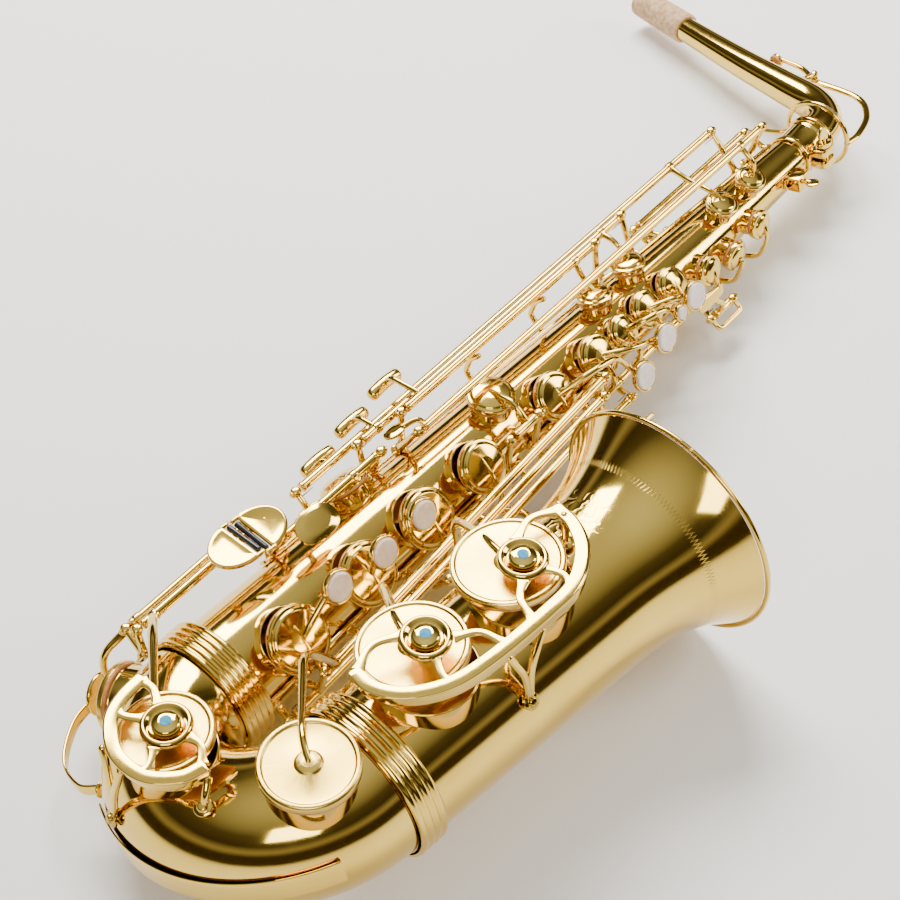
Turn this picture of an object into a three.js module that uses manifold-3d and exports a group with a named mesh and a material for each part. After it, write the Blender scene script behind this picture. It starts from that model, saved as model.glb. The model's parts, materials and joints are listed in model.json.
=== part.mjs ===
// Alto saxophone with its neck fitted, lying on its left side: three.js model, millimetres.
// The instrument is built in its own axes: x from the body to the bell, y up the body from the bow
// to the neck, z towards the player's right. The last lines lay it down and set the origin.
import * as THREE from "three";
import { mergeVertices } from "three/addons/utils/BufferGeometryUtils.js";
import Module from "manifold-3d";

const wasm = await Module();
wasm.setup();

// ---- Driving dimensions -------------------------------------------------------------------------
const BODY_LENGTH = 478;
const BODY_R_LOW = 28.5;
const BODY_R_TOP = 12.6;
const WALL = 1.0;
const BOW_R = 52.5; // half the distance between the body's and the bell's axes
const BOW_Y = -12;
const BOW_R_IN = 29.5;
const BOW_R_OUT = 36;
const BELL_LENGTH = 200;
const BELL_LEAN = 5.5; // degrees
const BELL_R_LOW = 36.5;
const BELL_THROAT_R = 43;
const RIM_R = 62.5;
const CHIMNEY = 4.5; // height of a tone hole's wall above the tube
const GAP = 0.35; // air between pieces that touch on the real instrument
const TUBE_R = 2.4; // hinge tube
const ROLL = 14.14; // how far the instrument leans over when it lies down, degrees
const PITCH = -0.045;

const BRASS = 0xd6a441;
const PI = Math.PI;
const rad = (degrees) => (degrees * PI) / 180;
const vec = (x, y, z) => new THREE.Vector3(x, y, z);
const mix = (a, b, t) => a + (b - a) * t;

// ---- Solids -------------------------------------------------------------------------------------
// Turns a closed three.js geometry into a solid that can be joined and cut.
function solid(geometry) {
  const bare = geometry.index ? geometry.toNonIndexed() : geometry.clone();
  for (const name of Object.keys(bare.attributes)) if (name !== "position") bare.deleteAttribute(name);
  const merged = mergeVertices(bare, 1e-4);
  const vertProperties = merged.attributes.position.array;
  const triVerts = new Uint32Array(merged.index.array);
  const made = new wasm.Manifold(new wasm.Mesh({ numProp: 3, vertProperties, triVerts }));
  if (made.volume() > 0) return made;
  triVerts.reverse(); // it was inside out
  return new wasm.Manifold(new wasm.Mesh({ numProp: 3, vertProperties, triVerts }));
}

const join = (...solids) => solids.flat().reduce((a, b) => a.add(b));

function geometryOf(made) {
  const mesh = made.asOriginal().simplify(0.2).getMesh();
  const geometry = new THREE.BufferGeometry();
  geometry.setAttribute("position", new THREE.BufferAttribute(new Float32Array(mesh.vertProperties), 3));
  geometry.setIndex(new THREE.BufferAttribute(new Uint32Array(mesh.triVerts), 1));
  return geometry;
}

// Turns a geometry so that its own y runs along "up" and its z as near as it can to "side".
function stand(geometry, origin, up, side = vec(0, 0, 1)) {
  const y = up.clone().normalize();
  let x = new THREE.Vector3().crossVectors(y, side);
  if (x.length() < 1e-3) x = new THREE.Vector3().crossVectors(y, vec(1, 0.01, 0));
  x.normalize();
  const z = new THREE.Vector3().crossVectors(x, y);
  return geometry.applyMatrix4(new THREE.Matrix4().makeBasis(x, y, z).setPosition(origin));
}

function rod(a, b, r, rEnd = r, sides = 6) {
  const along = b.clone().sub(a);
  const cylinder = new THREE.CylinderGeometry(rEnd, r, along.length(), sides);
  return solid(stand(cylinder, a.clone().add(b).multiplyScalar(0.5), along));
}

const ball = (centre, r, sides = 7) =>
  solid(new THREE.SphereGeometry(r, sides, sides - 3).translate(...centre.toArray()));

// A flat bar from a to b: its width lies across, and its thickness along "face".
function bar(a, b, width, thick, face) {
  const along = b.clone().sub(a);
  const box = new THREE.BoxGeometry(width, along.length(), thick);
  return solid(stand(box, a.clone().add(b).multiplyScalar(0.5), along, face));
}

// A turned piece: profile points [radius, height], standing on "origin" along "up".
function turned(profile, origin, up, sides = 18) {
  const points = profile.map(([r, h]) => new THREE.Vector2(r, h));
  return solid(stand(new THREE.LatheGeometry(points, sides), origin, up));
}

// A flat plate cut to a closed outline [across, along], its middle on "origin" and facing "face".
function plate(outline, thick, origin, face, along = vec(0, 1, 0)) {
  const shape = new THREE.Shape(outline.map(([u, v]) => new THREE.Vector2(u, v)));
  const cut = new THREE.ExtrudeGeometry(shape, { depth: thick, bevelEnabled: false });
  cut.translate(0, 0, -thick / 2);
  return solid(stand(cut, origin, along.clone().addScaledVector(face, -along.dot(face)), face));
}

function oval(halfWidth, halfLength, corners = 12) {
  return Array.from({ length: corners }, (_, i) => {
    const t = (2 * PI * i) / corners;
    return [halfWidth * Math.cos(t), halfLength * Math.sin(t)];
  });
}

// A round tube whose centre line lies in a plane: a cylinder bent along place(t), t from 0 to 1.
function bentTube(place, radius, steps, sides, across = vec(0, 0, 1)) {
  const tube = new THREE.CylinderGeometry(1, 1, 1, sides, steps);
  const at = tube.attributes.position;
  for (let i = 0; i < at.count; i++) {
    const t = at.getY(i) + 0.5;
    const tangent = place(Math.min(t + 1e-3, 1)).sub(place(Math.max(t - 1e-3, 0))).normalize();
    const side = new THREE.Vector3().crossVectors(tangent, across).normalize();
    const point = place(t);
    point.addScaledVector(side, at.getX(i) * radius(t)).addScaledVector(across, at.getZ(i) * radius(t));
    at.setXYZ(i, point.x, point.y, point.z);
  }
  return solid(tube);
}

// A bent bar of round section through a few points.
function bent(points, r, steps = 10, sides = 6, closed = false) {
  const curve = new THREE.CatmullRomCurve3(points, closed, "centripetal");
  const circle = new THREE.Shape(oval(r, r, sides).map(([u, v]) => new THREE.Vector2(u, v)));
  return solid(new THREE.ExtrudeGeometry(circle, { steps, extrudePath: curve, bevelEnabled: false }));
}

// Straight bars from point to point with rounded knees: a key's arm.
function arm(points, r, rEnd = r) {
  const last = points.length - 1;
  const widths = points.map((_, i) => mix(r, rEnd, i / last));
  const bars = [];
  for (let i = 0; i < last; i++) bars.push(rod(points[i], points[i + 1], widths[i], widths[i + 1], 5));
  for (let i = 1; i < last; i++) bars.push(ball(points[i], widths[i] * 1.05, 5));
  return join(bars);
}

// ---- Places on the instrument -------------------------------------------------------------------
const bodyRadius = (y) => mix(BODY_R_LOW, BODY_R_TOP, y / BODY_LENGTH);
const spoke = (degrees) => vec(Math.cos(rad(degrees)), 0, Math.sin(rad(degrees))); // 0 front, 90 right
// A point at a height y, an angle round the body and a distance from its axis.
const round = (y, degrees, distance) => spoke(degrees).multiplyScalar(distance).setY(y);

const bowCentre = vec(BOW_R, BOW_Y, 0);
function bowPoint(degrees, reach = BOW_R) {
  const t = rad(degrees);
  return bowCentre.clone().add(vec(-reach * Math.cos(t), -reach * Math.sin(t), 0));
}
const BOW_TURN = 180 - BELL_LEAN; // the bow stops turning where the bell's lean begins
const bellAxis = vec(Math.sin(rad(BELL_LEAN)), Math.cos(rad(BELL_LEAN)), 0);
const bellFoot = bowPoint(BOW_TURN).addScaledVector(bellAxis, GAP);
const bellPoint = (along) => bellFoot.clone().addScaledVector(bellAxis, along);

// The wide cups on the bow and the bell face this way.
const SIDE_FACE = spoke(74);

// Tone holes: where the axis of each leaves its tube, which way it faces, its radius and the
// distance from the tube's centre line to the hole's rim.
function bodyHole(y, degrees, r, height = CHIMNEY) {
  return { root: vec(0, y, 0), face: spoke(degrees), r, reach: bodyRadius(y) + height };
}
const HOLES = {
  low_eb: { root: bowPoint(15), face: bowPoint(15).sub(bowCentre).normalize(), r: 15.5, reach: 34.5 },
  low_c: { root: bowPoint(75), face: SIDE_FACE, r: 19, reach: 40.8 },
  low_csharp: { root: vec(2 * BOW_R - 4, -40, 0), face: SIDE_FACE, r: 19, reach: 40 },
  low_b: { root: bellPoint(42), face: SIDE_FACE, r: 22, reach: 43.5 },
  low_bb: { root: bellPoint(100), face: SIDE_FACE, r: 22.5, reach: 46 },
  d: bodyHole(24, 32, 14),
  e: bodyHole(73, 32, 13.5),
  f: bodyHole(117, 32, 13),
  fsharp: bodyHole(160, 32, 11.5),
  alt_fsharp: bodyHole(108, 115, 10.5),
  gsharp: bodyHole(196, 72, 10),
  g: bodyHole(222, 32, 10.5),
  a: bodyHole(259, 32, 9.5),
  bis: bodyHole(283, 32, 7),
  b: bodyHole(305, 32, 8.2),
  c: bodyHole(329, 32, 7.8),
  side_bb: bodyHole(291, 84, 7.6),
  side_c: bodyHole(323, 88, 7.2),
  palm_d: bodyHole(362, 4, 7),
  palm_eb: bodyHole(388, -14, 6.8),
  palm_f: bodyHole(414, -2, 6.4),
  side_e: bodyHole(398, 62, 6.6),
  high_fsharp: bodyHole(427, 62, 6.2),
  octave_vent: bodyHole(386, 180, 2.4, 5),
};
const rimOf = (hole) => hole.root.clone().addScaledVector(hole.face, hole.reach);

function chimney(hole, wall, extra) {
  const sides = hole.r > 12 ? 16 : hole.r > 5 ? 10 : 6;
  const top = hole.root.clone().addScaledVector(hole.face, hole.reach + extra);
  return rod(hole.root, top, hole.r + wall, hole.r + wall, sides);
}

// ---- The tubes ----------------------------------------------------------------------------------
const part = new THREE.Group();

function add(name, made, hinge, colour = BRASS, roughness = 0.2, metalness = 1) {
  const material = new THREE.MeshStandardMaterial({ color: colour, roughness, metalness });
  const mesh = new THREE.Mesh(geometryOf(made), material);
  mesh.name = name;
  if (hinge) mesh.userData.hinge = hinge;
  part.add(mesh);
  return mesh;
}

function bored(outer, inner, holes) {
  const walls = holes.map((hole) => chimney(hole, WALL, 0));
  const openings = holes.map((hole) => chimney(hole, 0, 2));
  return join(outer, walls).subtract(join(inner, openings));
}

function bodyTube() {
  const foot = BOW_Y + GAP;
  const footR = bodyRadius(foot);
  const outside = [[0, foot], [footR, foot], [BODY_R_TOP, BODY_LENGTH], [0, BODY_LENGTH]];
  const inside = [[0, foot - 5], [footR - WALL, foot - 5], [BODY_R_TOP - WALL, BODY_LENGTH + 5],
    [0, BODY_LENGTH + 5]];
  const holes = Object.entries(HOLES).filter(([name]) => !name.startsWith("low_"));
  const base = vec(0, 0, 0);
  const up = vec(0, 1, 0);
  return bored(turned(outside, base, up, 20), turned(inside, base, up, 20), holes.map(([, hole]) => hole));
}

function bowTube() {
  const along = (from, to) => (t) => bowPoint(mix(from, to, t));
  const outer = bentTube(along(0, BOW_TURN), (t) => mix(BOW_R_IN, BOW_R_OUT, t), 10, 20);
  const inner = bentTube(along(-4, BOW_TURN + 4), (t) => mix(BOW_R_IN, BOW_R_OUT, t) - WALL, 10, 20);
  return bored(outer, inner, [HOLES.low_eb, HOLES.low_c, HOLES.low_csharp]);
}

// The bell widens slowly from its foot and flares into a rolled rim.
function bellRadius(t) {
  const flare = Math.max(0, (t - 0.66) / 0.34) ** 3;
  return mix(BELL_R_LOW, BELL_THROAT_R, t) + (RIM_R - BELL_THROAT_R - 1.5) * flare;
}

function bellTube() {
  const stations = [0, 0.66, 0.78, 0.86, 0.92, 0.96, 1];
  const skin = stations.map((t) => [bellRadius(t), t * BELL_LENGTH]);
  const roll = [[RIM_R, BELL_LENGTH - 1.5], [RIM_R + 0.6, BELL_LENGTH + 0.6],
    [RIM_R - 0.8, BELL_LENGTH + 1.8]];
  const lining = stations.toReversed().map((t) =>
    [bellRadius(t) - WALL, t * BELL_LENGTH + (t > 0.95 ? 0.8 : 0)]);
  const outer = turned([[0, 0], ...skin, ...roll, [0, BELL_LENGTH + 1.8]], bellFoot, bellAxis, 24);
  const inner = turned([[0, -5], [BELL_R_LOW - WALL, -5], ...lining.toReversed().slice(1),
    [RIM_R - 2, BELL_LENGTH + 5], [0, BELL_LENGTH + 5]], bellFoot, bellAxis, 24);
  return bored(outer, inner, [HOLES.low_b, HOLES.low_bb]);
}

// A band of ribs that joins two tubes; its ribs stand proud of both.
function ribbedBand(centre, axis, innerR, length, ribs) {
  const pitch = length / ribs;
  const outline = [[innerR, -length / 2]];
  for (let i = 0; i < ribs; i++) {
    const y = -length / 2 + i * pitch;
    outline.push([innerR + 1.4, y], [innerR + 2.2, y + pitch * 0.5]);
  }
  outline.push([innerR + 1.4, length / 2], [innerR, length / 2], [innerR, -length / 2]);
  return turned(outline, centre, axis, 20);
}

add("body_tube", bodyTube());
add("bow", bowTube());
add("bell", bellTube());
add("body_bow_band", ribbedBand(vec(0, BOW_Y + 4, 0), vec(0, 1, 0), BOW_R_IN + 1.3, 17, 4));
add("bell_bow_band", ribbedBand(bellPoint(8), bellAxis, BELL_R_LOW + 1.2, 15, 3));

// ---- Neck and receiver --------------------------------------------------------------------------
const TENON_R = 11.9;
const RECEIVER_BASE = BODY_LENGTH + GAP;
const RECEIVER_TOP = RECEIVER_BASE + 22;
const NECK_TIP_R = 6.6;
const CORK_LENGTH = 48;
const NECK_TURN = 9; // the neck swung a little towards the right hand side, degrees

const neckCurve = new THREE.CatmullRomCurve3(
  [[0, 482], [0, 503], [-3, 521], [-17, 534], [-44, 541], [-90, 552],
    [-180, 577]].map(([x, y]) => vec(x, y, 0)),
  false,
  "centripetal",
);
const neckPlace = (t) => neckCurve.getPointAt(t);
const neckRadius = (t) => mix(TENON_R, NECK_TIP_R, Math.max(0, (t - 0.12) / 0.88));
const neckLength = neckCurve.getLength();
const corkStart = 1 - CORK_LENGTH / neckLength;

function neckTube() {
  const tube = bentTube(neckPlace, neckRadius, 14, 14);
  const bore = bentTube(neckPlace, (t) => neckRadius(t) - WALL, 14, 14);
  const ends = [neckPlace(0), neckPlace(1)];
  const openings = [
    rod(ends[0].clone().add(vec(0, 1, 0)), ends[0].clone().add(vec(0, -3, 0)), TENON_R - WALL, TENON_R - WALL,
      14),
    rod(neckPlace(0.995), ends[1].clone().add(vec(-3, 0.8, 0)), NECK_TIP_R - WALL, NECK_TIP_R - WALL, 14),
  ];
  const collar = turned([[0, 0], [14, 0], [15.2, 1.2], [15.2, 3.2], [13.2, 5], [0, 5]],
    vec(0, RECEIVER_TOP + GAP, 0), vec(0, 1, 0), 20);
  const posts = [-1, 1].map((side) =>
    rod(neckPlace(0.34).add(vec(0, 5, side * 5)), octavePivot(side * 5.2), 1.5));
  const heads = [-1, 1].map((side) => ball(octavePivot(side * 5.2), 2.4));
  const vent = rod(neckPlace(0.49), neckPlace(0.49).add(vec(3.4, 13, 0)), 2.4);
  return join(tube, collar, posts, heads, vent).subtract(join(bore, openings));
}

// The neck's octave key turns on this pin, above the neck's bend.
function octavePivot(z = 0) {
  return neckPlace(0.34).add(vec(3.5, 16.5, z));
}

function neckCork() {
  const tube = bentTube((t) => neckPlace(mix(corkStart, 0.998, t)), (t) => mix(10, 9.4, t), 4, 16);
  const inner = neckRadius(corkStart) + 0.5;
  const hole = bentTube((t) => neckPlace(mix(corkStart - 0.02, 1, t)), () => inner, 5, 16);
  const past = rod(neckPlace(0.98), neckPlace(1).add(vec(-4, 1, 0)), inner, inner, 16);
  return tube.subtract(join(hole, past));
}

function neckOctaveKey() {
  const ringY = RECEIVER_TOP + 9.5;
  const ring = bent(Array.from({ length: 12 }, (_, i) => round(ringY, i * 30, 20.4)), 1.5, 18, 5, true);
  const spine = [round(ringY, 0, 20.4), vec(21, 522, 0), vec(15, 541, 0), vec(0, 554, 0), octavePivot()];
  const vent = neckPlace(0.49).add(vec(3.9, 14.2, 0));
  const lever = [octavePivot(), vec(-45, 563.5, 0), vent.clone().add(vec(1.5, 5, 0))];
  const hinge = rod(octavePivot(-2.4), octavePivot(2.4), 2.3);
  const pad = turned([[0, 0], [4.4, 0], [4.8, 1], [4.8, 3.4], [0, 5]], vent, vec(3.4, 13, 0), 14);
  return join(ring, bent(spine, 1.8, 8, 5), bent(lever, 1.7, 4, 5), hinge, pad);
}

const neck = new THREE.Group();
neck.rotation.y = rad(NECK_TURN);
part.add(neck);
neck.add(
  add("neck", neckTube(), { pivot: vec(0, RECEIVER_TOP, 0), axis: vec(0, 1, 0) }),
  add("neck_cork", neckCork(), null, 0xc99a62, 0.85, 0),
  add("neck_octave_key", neckOctaveKey(), { pivot: octavePivot(), axis: vec(0, 0, -1), open: 4 }),
);

// The receiver is a split clamp round the neck's tenon, closed by one screw.
function neckReceiver() {
  const sleeve = turned([[0, 0], [14.4, 0], [14.4, 22], [0, 22]], vec(0, RECEIVER_BASE, 0), vec(0, 1, 0), 24);
  const bore = turned([[0, -1], [TENON_R + 0.5, -1], [TENON_R + 0.5, 23], [0, 23]],
    vec(0, RECEIVER_BASE, 0), vec(0, 1, 0), 24);
  const lug = bar(vec(17, RECEIVER_BASE + 5, 0), vec(17, RECEIVER_BASE + 17, 0), 10, 13, vec(0, 0, 1));
  const slot = bar(vec(17, RECEIVER_BASE - 2, 0), vec(17, RECEIVER_BASE + 24, 0), 12, 1.6, vec(0, 0, 1));
  const hole = rod(vec(18.2, RECEIVER_BASE + 11, -12), vec(18.2, RECEIVER_BASE + 11, 12), 2.4);
  return join(sleeve, lug).subtract(join(bore, slot, hole));
}
add("neck_receiver", neckReceiver());

function receiverScrew() {
  const y = RECEIVER_BASE + 11;
  const shank = rod(vec(18.2, y, -8), vec(18.2, y, 9), 2);
  const head = rod(vec(18.2, y, 7.2), vec(18.2, y, 9.5), 4.6, 4.6, 12);
  const wing = plate(oval(6.2, 4.2), 2.2, vec(18.2, y, 13), vec(1, 0, 0), vec(0, 1, 0));
  return join(shank, head, wing, rod(vec(18.2, y, 9), vec(18.2, y, 12), 1.6));
}
add("receiver_screw", receiverScrew(), {
  pivot: vec(18.2, RECEIVER_BASE + 11, 0), axis: vec(0, 0, 1), continuous: true,
});

// ---- Keys ---------------------------------------------------------------------------------------
const CUP_DEPTH = 6.6;

// A padded key cup lying on a tone hole.
function cup(hole, extra = 2.6) {
  const r = hole.r + extra;
  const sides = r > 17 ? 16 : r > 11 ? 12 : 10;
  const profile = [[0, 0], [r, 0], [r, 4.4], [r - 2.4, 5.9], [0, CUP_DEPTH]];
  return turned(profile, rimOf(hole).addScaledVector(hole.face, GAP), hole.face, sides);
}
const cupTop = (hole, extra = 0) => rimOf(hole).addScaledVector(hole.face, GAP + CUP_DEPTH - 1 + extra);

function pearl(centre, face, r = 8.6) {
  return turned([[0, -4], [3, -4], [r, -0.6], [r, 1.8], [r - 1.4, 3], [0, 3.4]], centre, face, 10);
}

// A key is shaped shut, then turned open about its hinge by "lift" millimetres at its cup.
// "rest" says how it stands when nobody plays: open or shut.
function addKey(name, hinge, rest, lift, hole, pieces) {
  const axis = hinge[1].clone().sub(hinge[0]).normalize();
  const reach = rimOf(hole).sub(hinge[0]);
  const rise = new THREE.Vector3().crossVectors(axis, reach).dot(hole.face); // mm at the cup for each radian
  const opening = axis.multiplyScalar(Math.sign(rise));
  const open = lift / Math.abs(rise);
  const mesh = add(name, join(pieces), {
    pivot: hinge[0],
    axis: rest === "open" ? opening.clone().negate() : opening,
    open: (open * 180) / PI,
    rest,
  });
  if (rest === "open") {
    const turn = new THREE.Quaternion().setFromAxisAngle(opening, open);
    mesh.quaternion.copy(turn);
    mesh.position.copy(hinge[0]).sub(hinge[0].clone().applyQuaternion(turn));
  }
  return mesh;
}

// Hinge rods: each a pair of points, bottom and top. along(rodLine, y) is the point on it at a height.
const LOWER_ROD = [round(3, -24, 38.5), round(187, -24, 32.5)];
const UPPER_ROD = [round(204, -25, 30.5), round(346, -25, 25.5)];
const BELL_ROD = [vec(59, 20, 8), vec(44, 250, 8)];
const BELL_ROD_STEP = vec(5, 0, -3.7); // from one bell-key rod to the next outer one
const beside = (line, steps, step) => line.map((p) => p.clone().addScaledVector(step, steps));
const CSHARP_ROD = beside(BELL_ROD, -1, BELL_ROD_STEP);
const BB_ROD = beside(BELL_ROD, 1, BELL_ROD_STEP);
const upright = (x, z) => [vec(x, 0, z), vec(x, 100, z)];
const SIDE_E_ROD = upright(-23, 37);
const SIDE_C_ROD = upright(-14.5, 41.5);
const SIDE_BB_ROD = upright(-7, 45.5);
const HIGH_F_ROD = upright(6, 40);
const ALT_ROD = upright(-3.3, 38);
const LOW_C_ROD = upright(-20, 40);
const LOW_EB_ROD = upright(-30.5, 35.5);
const GSHARP_ROD = upright(33, 19);
const LEVER_ROD = upright(31, -22);
const PALM_ROD = [round(340, -100, 30), round(440, -100, 28)];
const FRONT_F_ROD = upright(31, -20.5);
const OCTAVE_ROD = upright(-26, 16);

function along(line, y) {
  return line[0].clone().lerp(line[1], (y - line[0].y) / (line[1].y - line[0].y));
}
const stretch = (line, from, to) => [along(line, from), along(line, to)];
const tubeOf = (hinge) => rod(hinge[0], hinge[1], TUBE_R, TUBE_R, 6);

// Stack keys: a hinge tube, an arm that passes round the cup's edge, the cup and perhaps a pearl.
const PEARL_FACE = spoke(16);
function stackKey(name, line, from, to, hole, lift, pearlAt, pearlR, detour = []) {
  const hinge = stretch(line, from, to);
  const y = hole.root.y;
  const knee = round(y, 4, hole.reach + 11.5);
  const pieces = [tubeOf(hinge), arm([along(line, y), knee, cupTop(hole)], 1.9, 1.5), cup(hole)];
  if (pearlAt) {
    pieces.push(pearl(pearlAt, PEARL_FACE, pearlR));
    pieces.push(arm([cupTop(hole, -1), ...detour, pearlAt.clone().addScaledVector(PEARL_FACE, -3)], 1.5));
  }
  return addKey(name, hinge, "open", lift, hole, pieces);
}
const H = HOLES;
stackKey("d_key", LOWER_ROD, 7, 57, H.d, 4, vec(37, 47, 38), 8.6);
stackKey("e_key", LOWER_ROD, 57.4, 93, H.e, 4, vec(38.5, 76, 36), 8.6);
stackKey("f_key", LOWER_ROD, 93.4, 134, H.f, 4, vec(38, 104, 37), 8.6);
stackKey("f_sharp_key", LOWER_ROD, 134.4, 184, H.fsharp, 4);
stackKey("g_key", UPPER_ROD, 207.4, 238, H.g, 3, vec(43, 271, 1), 8.6, [vec(36, 240, 24), vec(37, 258, 21)]);
stackKey("a_key", UPPER_ROD, 238.4, 272, H.a, 3, vec(40, 295, 9), 8.6, [vec(35, 274, 14)]);
stackKey("bis_key", UPPER_ROD, 272.4, 292, H.bis, 2.6, vec(40, 310, 15), 5,
  [vec(34, 290, 22), vec(36, 303, 21)]);
stackKey("b_key", UPPER_ROD, 292.4, 316, H.b, 2.6, vec(37, 327, 14), 8.6, [vec(32, 317, 17)]);
stackKey("c_key", UPPER_ROD, 316.4, 342, H.c, 2.6);

function lever(name, line, from, to, hole, rest, lift, arms, extras = [], cupExtra = 2.6) {
  const hinge = stretch(line, from, to);
  return addKey(name, hinge, rest, lift, hole, [tubeOf(hinge), cup(hole, cupExtra), ...arms, ...extras]);
}

// Right-hand side keys: finger bars beside long rods.
function sideTouch(line, y, x, z, lowZ) {
  const bar3 = [vec(x, y - 9, z), vec(x - 1, y, z + 0.6), vec(x, y + 9, z)];
  return [bent(bar3, 3.6, 3, 6), arm([along(line, y), vec(x + 7, y, lowZ), vec(x, y, z)], 1.7)];
}
lever("side_e_key", SIDE_E_ROD, 90, 436, H.side_e, "shut", 3,
  [arm([along(SIDE_E_ROD, 398), vec(-10, 398, 31), vec(5, 398, 27.2), cupTop(H.side_e)], 1.7)],
  sideTouch(SIDE_E_ROD, 112, -34, 33, 35));
lever("side_c_key", SIDE_C_ROD, 128, 338, H.side_c, "shut", 3,
  [arm([along(SIDE_C_ROD, 323), vec(-4, 323, 38), cupTop(H.side_c)], 1.7)],
  sideTouch(SIDE_C_ROD, 139, -34, 38, 44));
lever("side_bb_key", SIDE_BB_ROD, 154, 306, H.side_bb, "shut", 2.6,
  [arm([along(SIDE_BB_ROD, 291), vec(-3, 291, 35), cupTop(H.side_bb)], 1.7)],
  sideTouch(SIDE_BB_ROD, 166, -34, 43, 50));
lever("high_f_sharp_key", HIGH_F_ROD, 151, 446, H.high_fsharp, "shut", 2.6,
  [arm([along(HIGH_F_ROD, 427), vec(15, 427, 31), cupTop(H.high_fsharp)], 1.7)],
  [plate(oval(4.8, 6.5), 2, vec(-2, 139, 43.5), spoke(95)),
    arm([along(HIGH_F_ROD, 153), vec(2, 152, 44), vec(-1, 142, 43.4)], 1.5)]);
lever("alt_f_sharp_key", ALT_ROD, 60, 125, H.alt_fsharp, "shut", 3,
  [arm([along(ALT_ROD, 108), cupTop(H.alt_fsharp)], 1.8)],
  [plate(oval(8.5, 12.5, 16), 2.2, vec(9, 71, 42), spoke(48)),
    arm([along(ALT_ROD, 71), vec(8.6, 71, 41.6)], 1.8)]);

// Low E flat and low C, worked by the right little finger.
const PINKY_FACE = spoke(66);
const PINKY_ACROSS = vec(Math.sin(rad(66)), 0, -Math.cos(rad(66)));
const pinkyAt = (across, y) => vec(-7, y, 49).addScaledVector(PINKY_ACROSS, across);
// A D-shaped plate whose straight edge faces the other one, with an ear at each end of its roller.
function pinkyTouch(edge, side) {
  const outline = Array.from({ length: 9 }, (_, i) => {
    const t = (PI * i) / 8;
    return [13 * Math.cos(t), -side * 18 * Math.sin(t)];
  });
  const ears = [-11.8, 11.8].map((a) =>
    bar(pinkyAt(a, edge - side * 2), pinkyAt(a, edge + side * 3.4), 1.6, 2.4, PINKY_FACE));
  return join(plate(outline, 2.4, pinkyAt(0, edge), PINKY_FACE), ears);
}
const lowCKey = lever("low_c_key", LOW_C_ROD, -18, 60, H.low_c, "open", 6,
  [arm([vec(-20, -11, 40), vec(-2, -22, 49), vec(38, -55, 48.5), cupTop(H.low_c, -2)], 2, 1.6)],
  [pinkyTouch(39, 1), arm([vec(-20, 30, 40), vec(-9, 30, 48.6)], 2)]);
lever("low_e_flat_key", LOW_EB_ROD, -18, 60, H.low_eb, "shut", 4,
  [arm([vec(-30.5, -14, 35.5), vec(-45, -34, 20), cupTop(H.low_eb)], 2, 1.7)],
  [pinkyTouch(47, -1), arm([vec(-30.5, 56, 35.5), vec(-26, 56, 47), vec(-9, 56, 48.8)], 2)]);

// The left little finger's table: three plates on the bell-key rods and the G sharp lever.
const TABLE_FACE = spoke(-50);
const tablePlate = (x, y, z, halfWidth, halfLength) =>
  plate([[-halfWidth, -halfLength + 3], [-halfWidth + 3, -halfLength], [halfWidth - 3, -halfLength],
    [halfWidth, -halfLength + 3], [halfWidth, halfLength], [-halfWidth, halfLength]], 2.4, vec(x, y, z),
      TABLE_FACE);
lever("low_c_sharp_key", CSHARP_ROD, 23, 246, H.low_csharp, "shut", 4,
  [arm([along(CSHARP_ROD, 26), vec(64, 6, 42), vec(106, -34, 51), cupTop(H.low_csharp)], 2.1, 1.6)],
  [tablePlate(48, 237, -24, 13, 6.5),
    arm([along(CSHARP_ROD, 244.3), vec(36, 244.3, -9), vec(47.4, 238, -23.4)], 1.7)], 3);
lever("low_b_key", BELL_ROD, 60, 236, H.low_b, "open", 6.5,
  [arm([along(BELL_ROD, 64), vec(73, 54, 44), vec(107, 32, 52), cupTop(H.low_b, -1.5)], 2.1, 1.6)],
  [tablePlate(41, 217, -29.8, 7, 9),
    arm([along(BELL_ROD, 234.4), vec(42, 234.4, -10), vec(41, 222, -28)], 1.7)], 3);
lever("low_b_flat_key", BB_ROD, 102, 226, H.low_bb, "open", 6.5,
  [arm([along(BB_ROD, 108), vec(76, 102, 44), vec(112, 88, 54), cupTop(H.low_bb, -1.5)], 2.1, 1.6)],
  [tablePlate(54, 217, -18.9, 7, 9), arm([along(BB_ROD, 221), vec(55, 220, -8), vec(53, 217, -17)], 1.7)], 3);
lever("g_sharp_key", GSHARP_ROD, 184, 200, H.gsharp, "shut", 3,
  [arm([along(GSHARP_ROD, 194), vec(26, 195, 30), cupTop(H.gsharp)], 1.8)]);

// Keys that have no cup of their own.
function plainKey(name, hinge, open, rest, pieces) {
  const axis = hinge[1].clone().sub(hinge[0]).normalize().multiplyScalar(Math.sign(open));
  return add(name, join(pieces), { pivot: hinge[0], axis, open: Math.abs(open), rest });
}
plainKey("g_sharp_lever", stretch(LEVER_ROD, 252, 270), -7, "shut", [
  tubeOf(stretch(LEVER_ROD, 252, 270)),
  tablePlate(46, 255, -24, 13, 7),
  arm([along(LEVER_ROD, 258), vec(45, 256, -24)], 1.8),
]);
plainKey("front_f_key", stretch(FRONT_F_ROD, 352, 366), 6, "shut", [
  tubeOf(stretch(FRONT_F_ROD, 352, 366)),
  arm([along(FRONT_F_ROD, 356), vec(37, 354, -12), vec(38, 343, -1)], 1.8),
  plate([[-4, -10.5], [4, -10.5], [5, -4], [3.4, 12], [-3.4, 12]], 2, vec(39, 341, 1), spoke(4)),
]);

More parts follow.
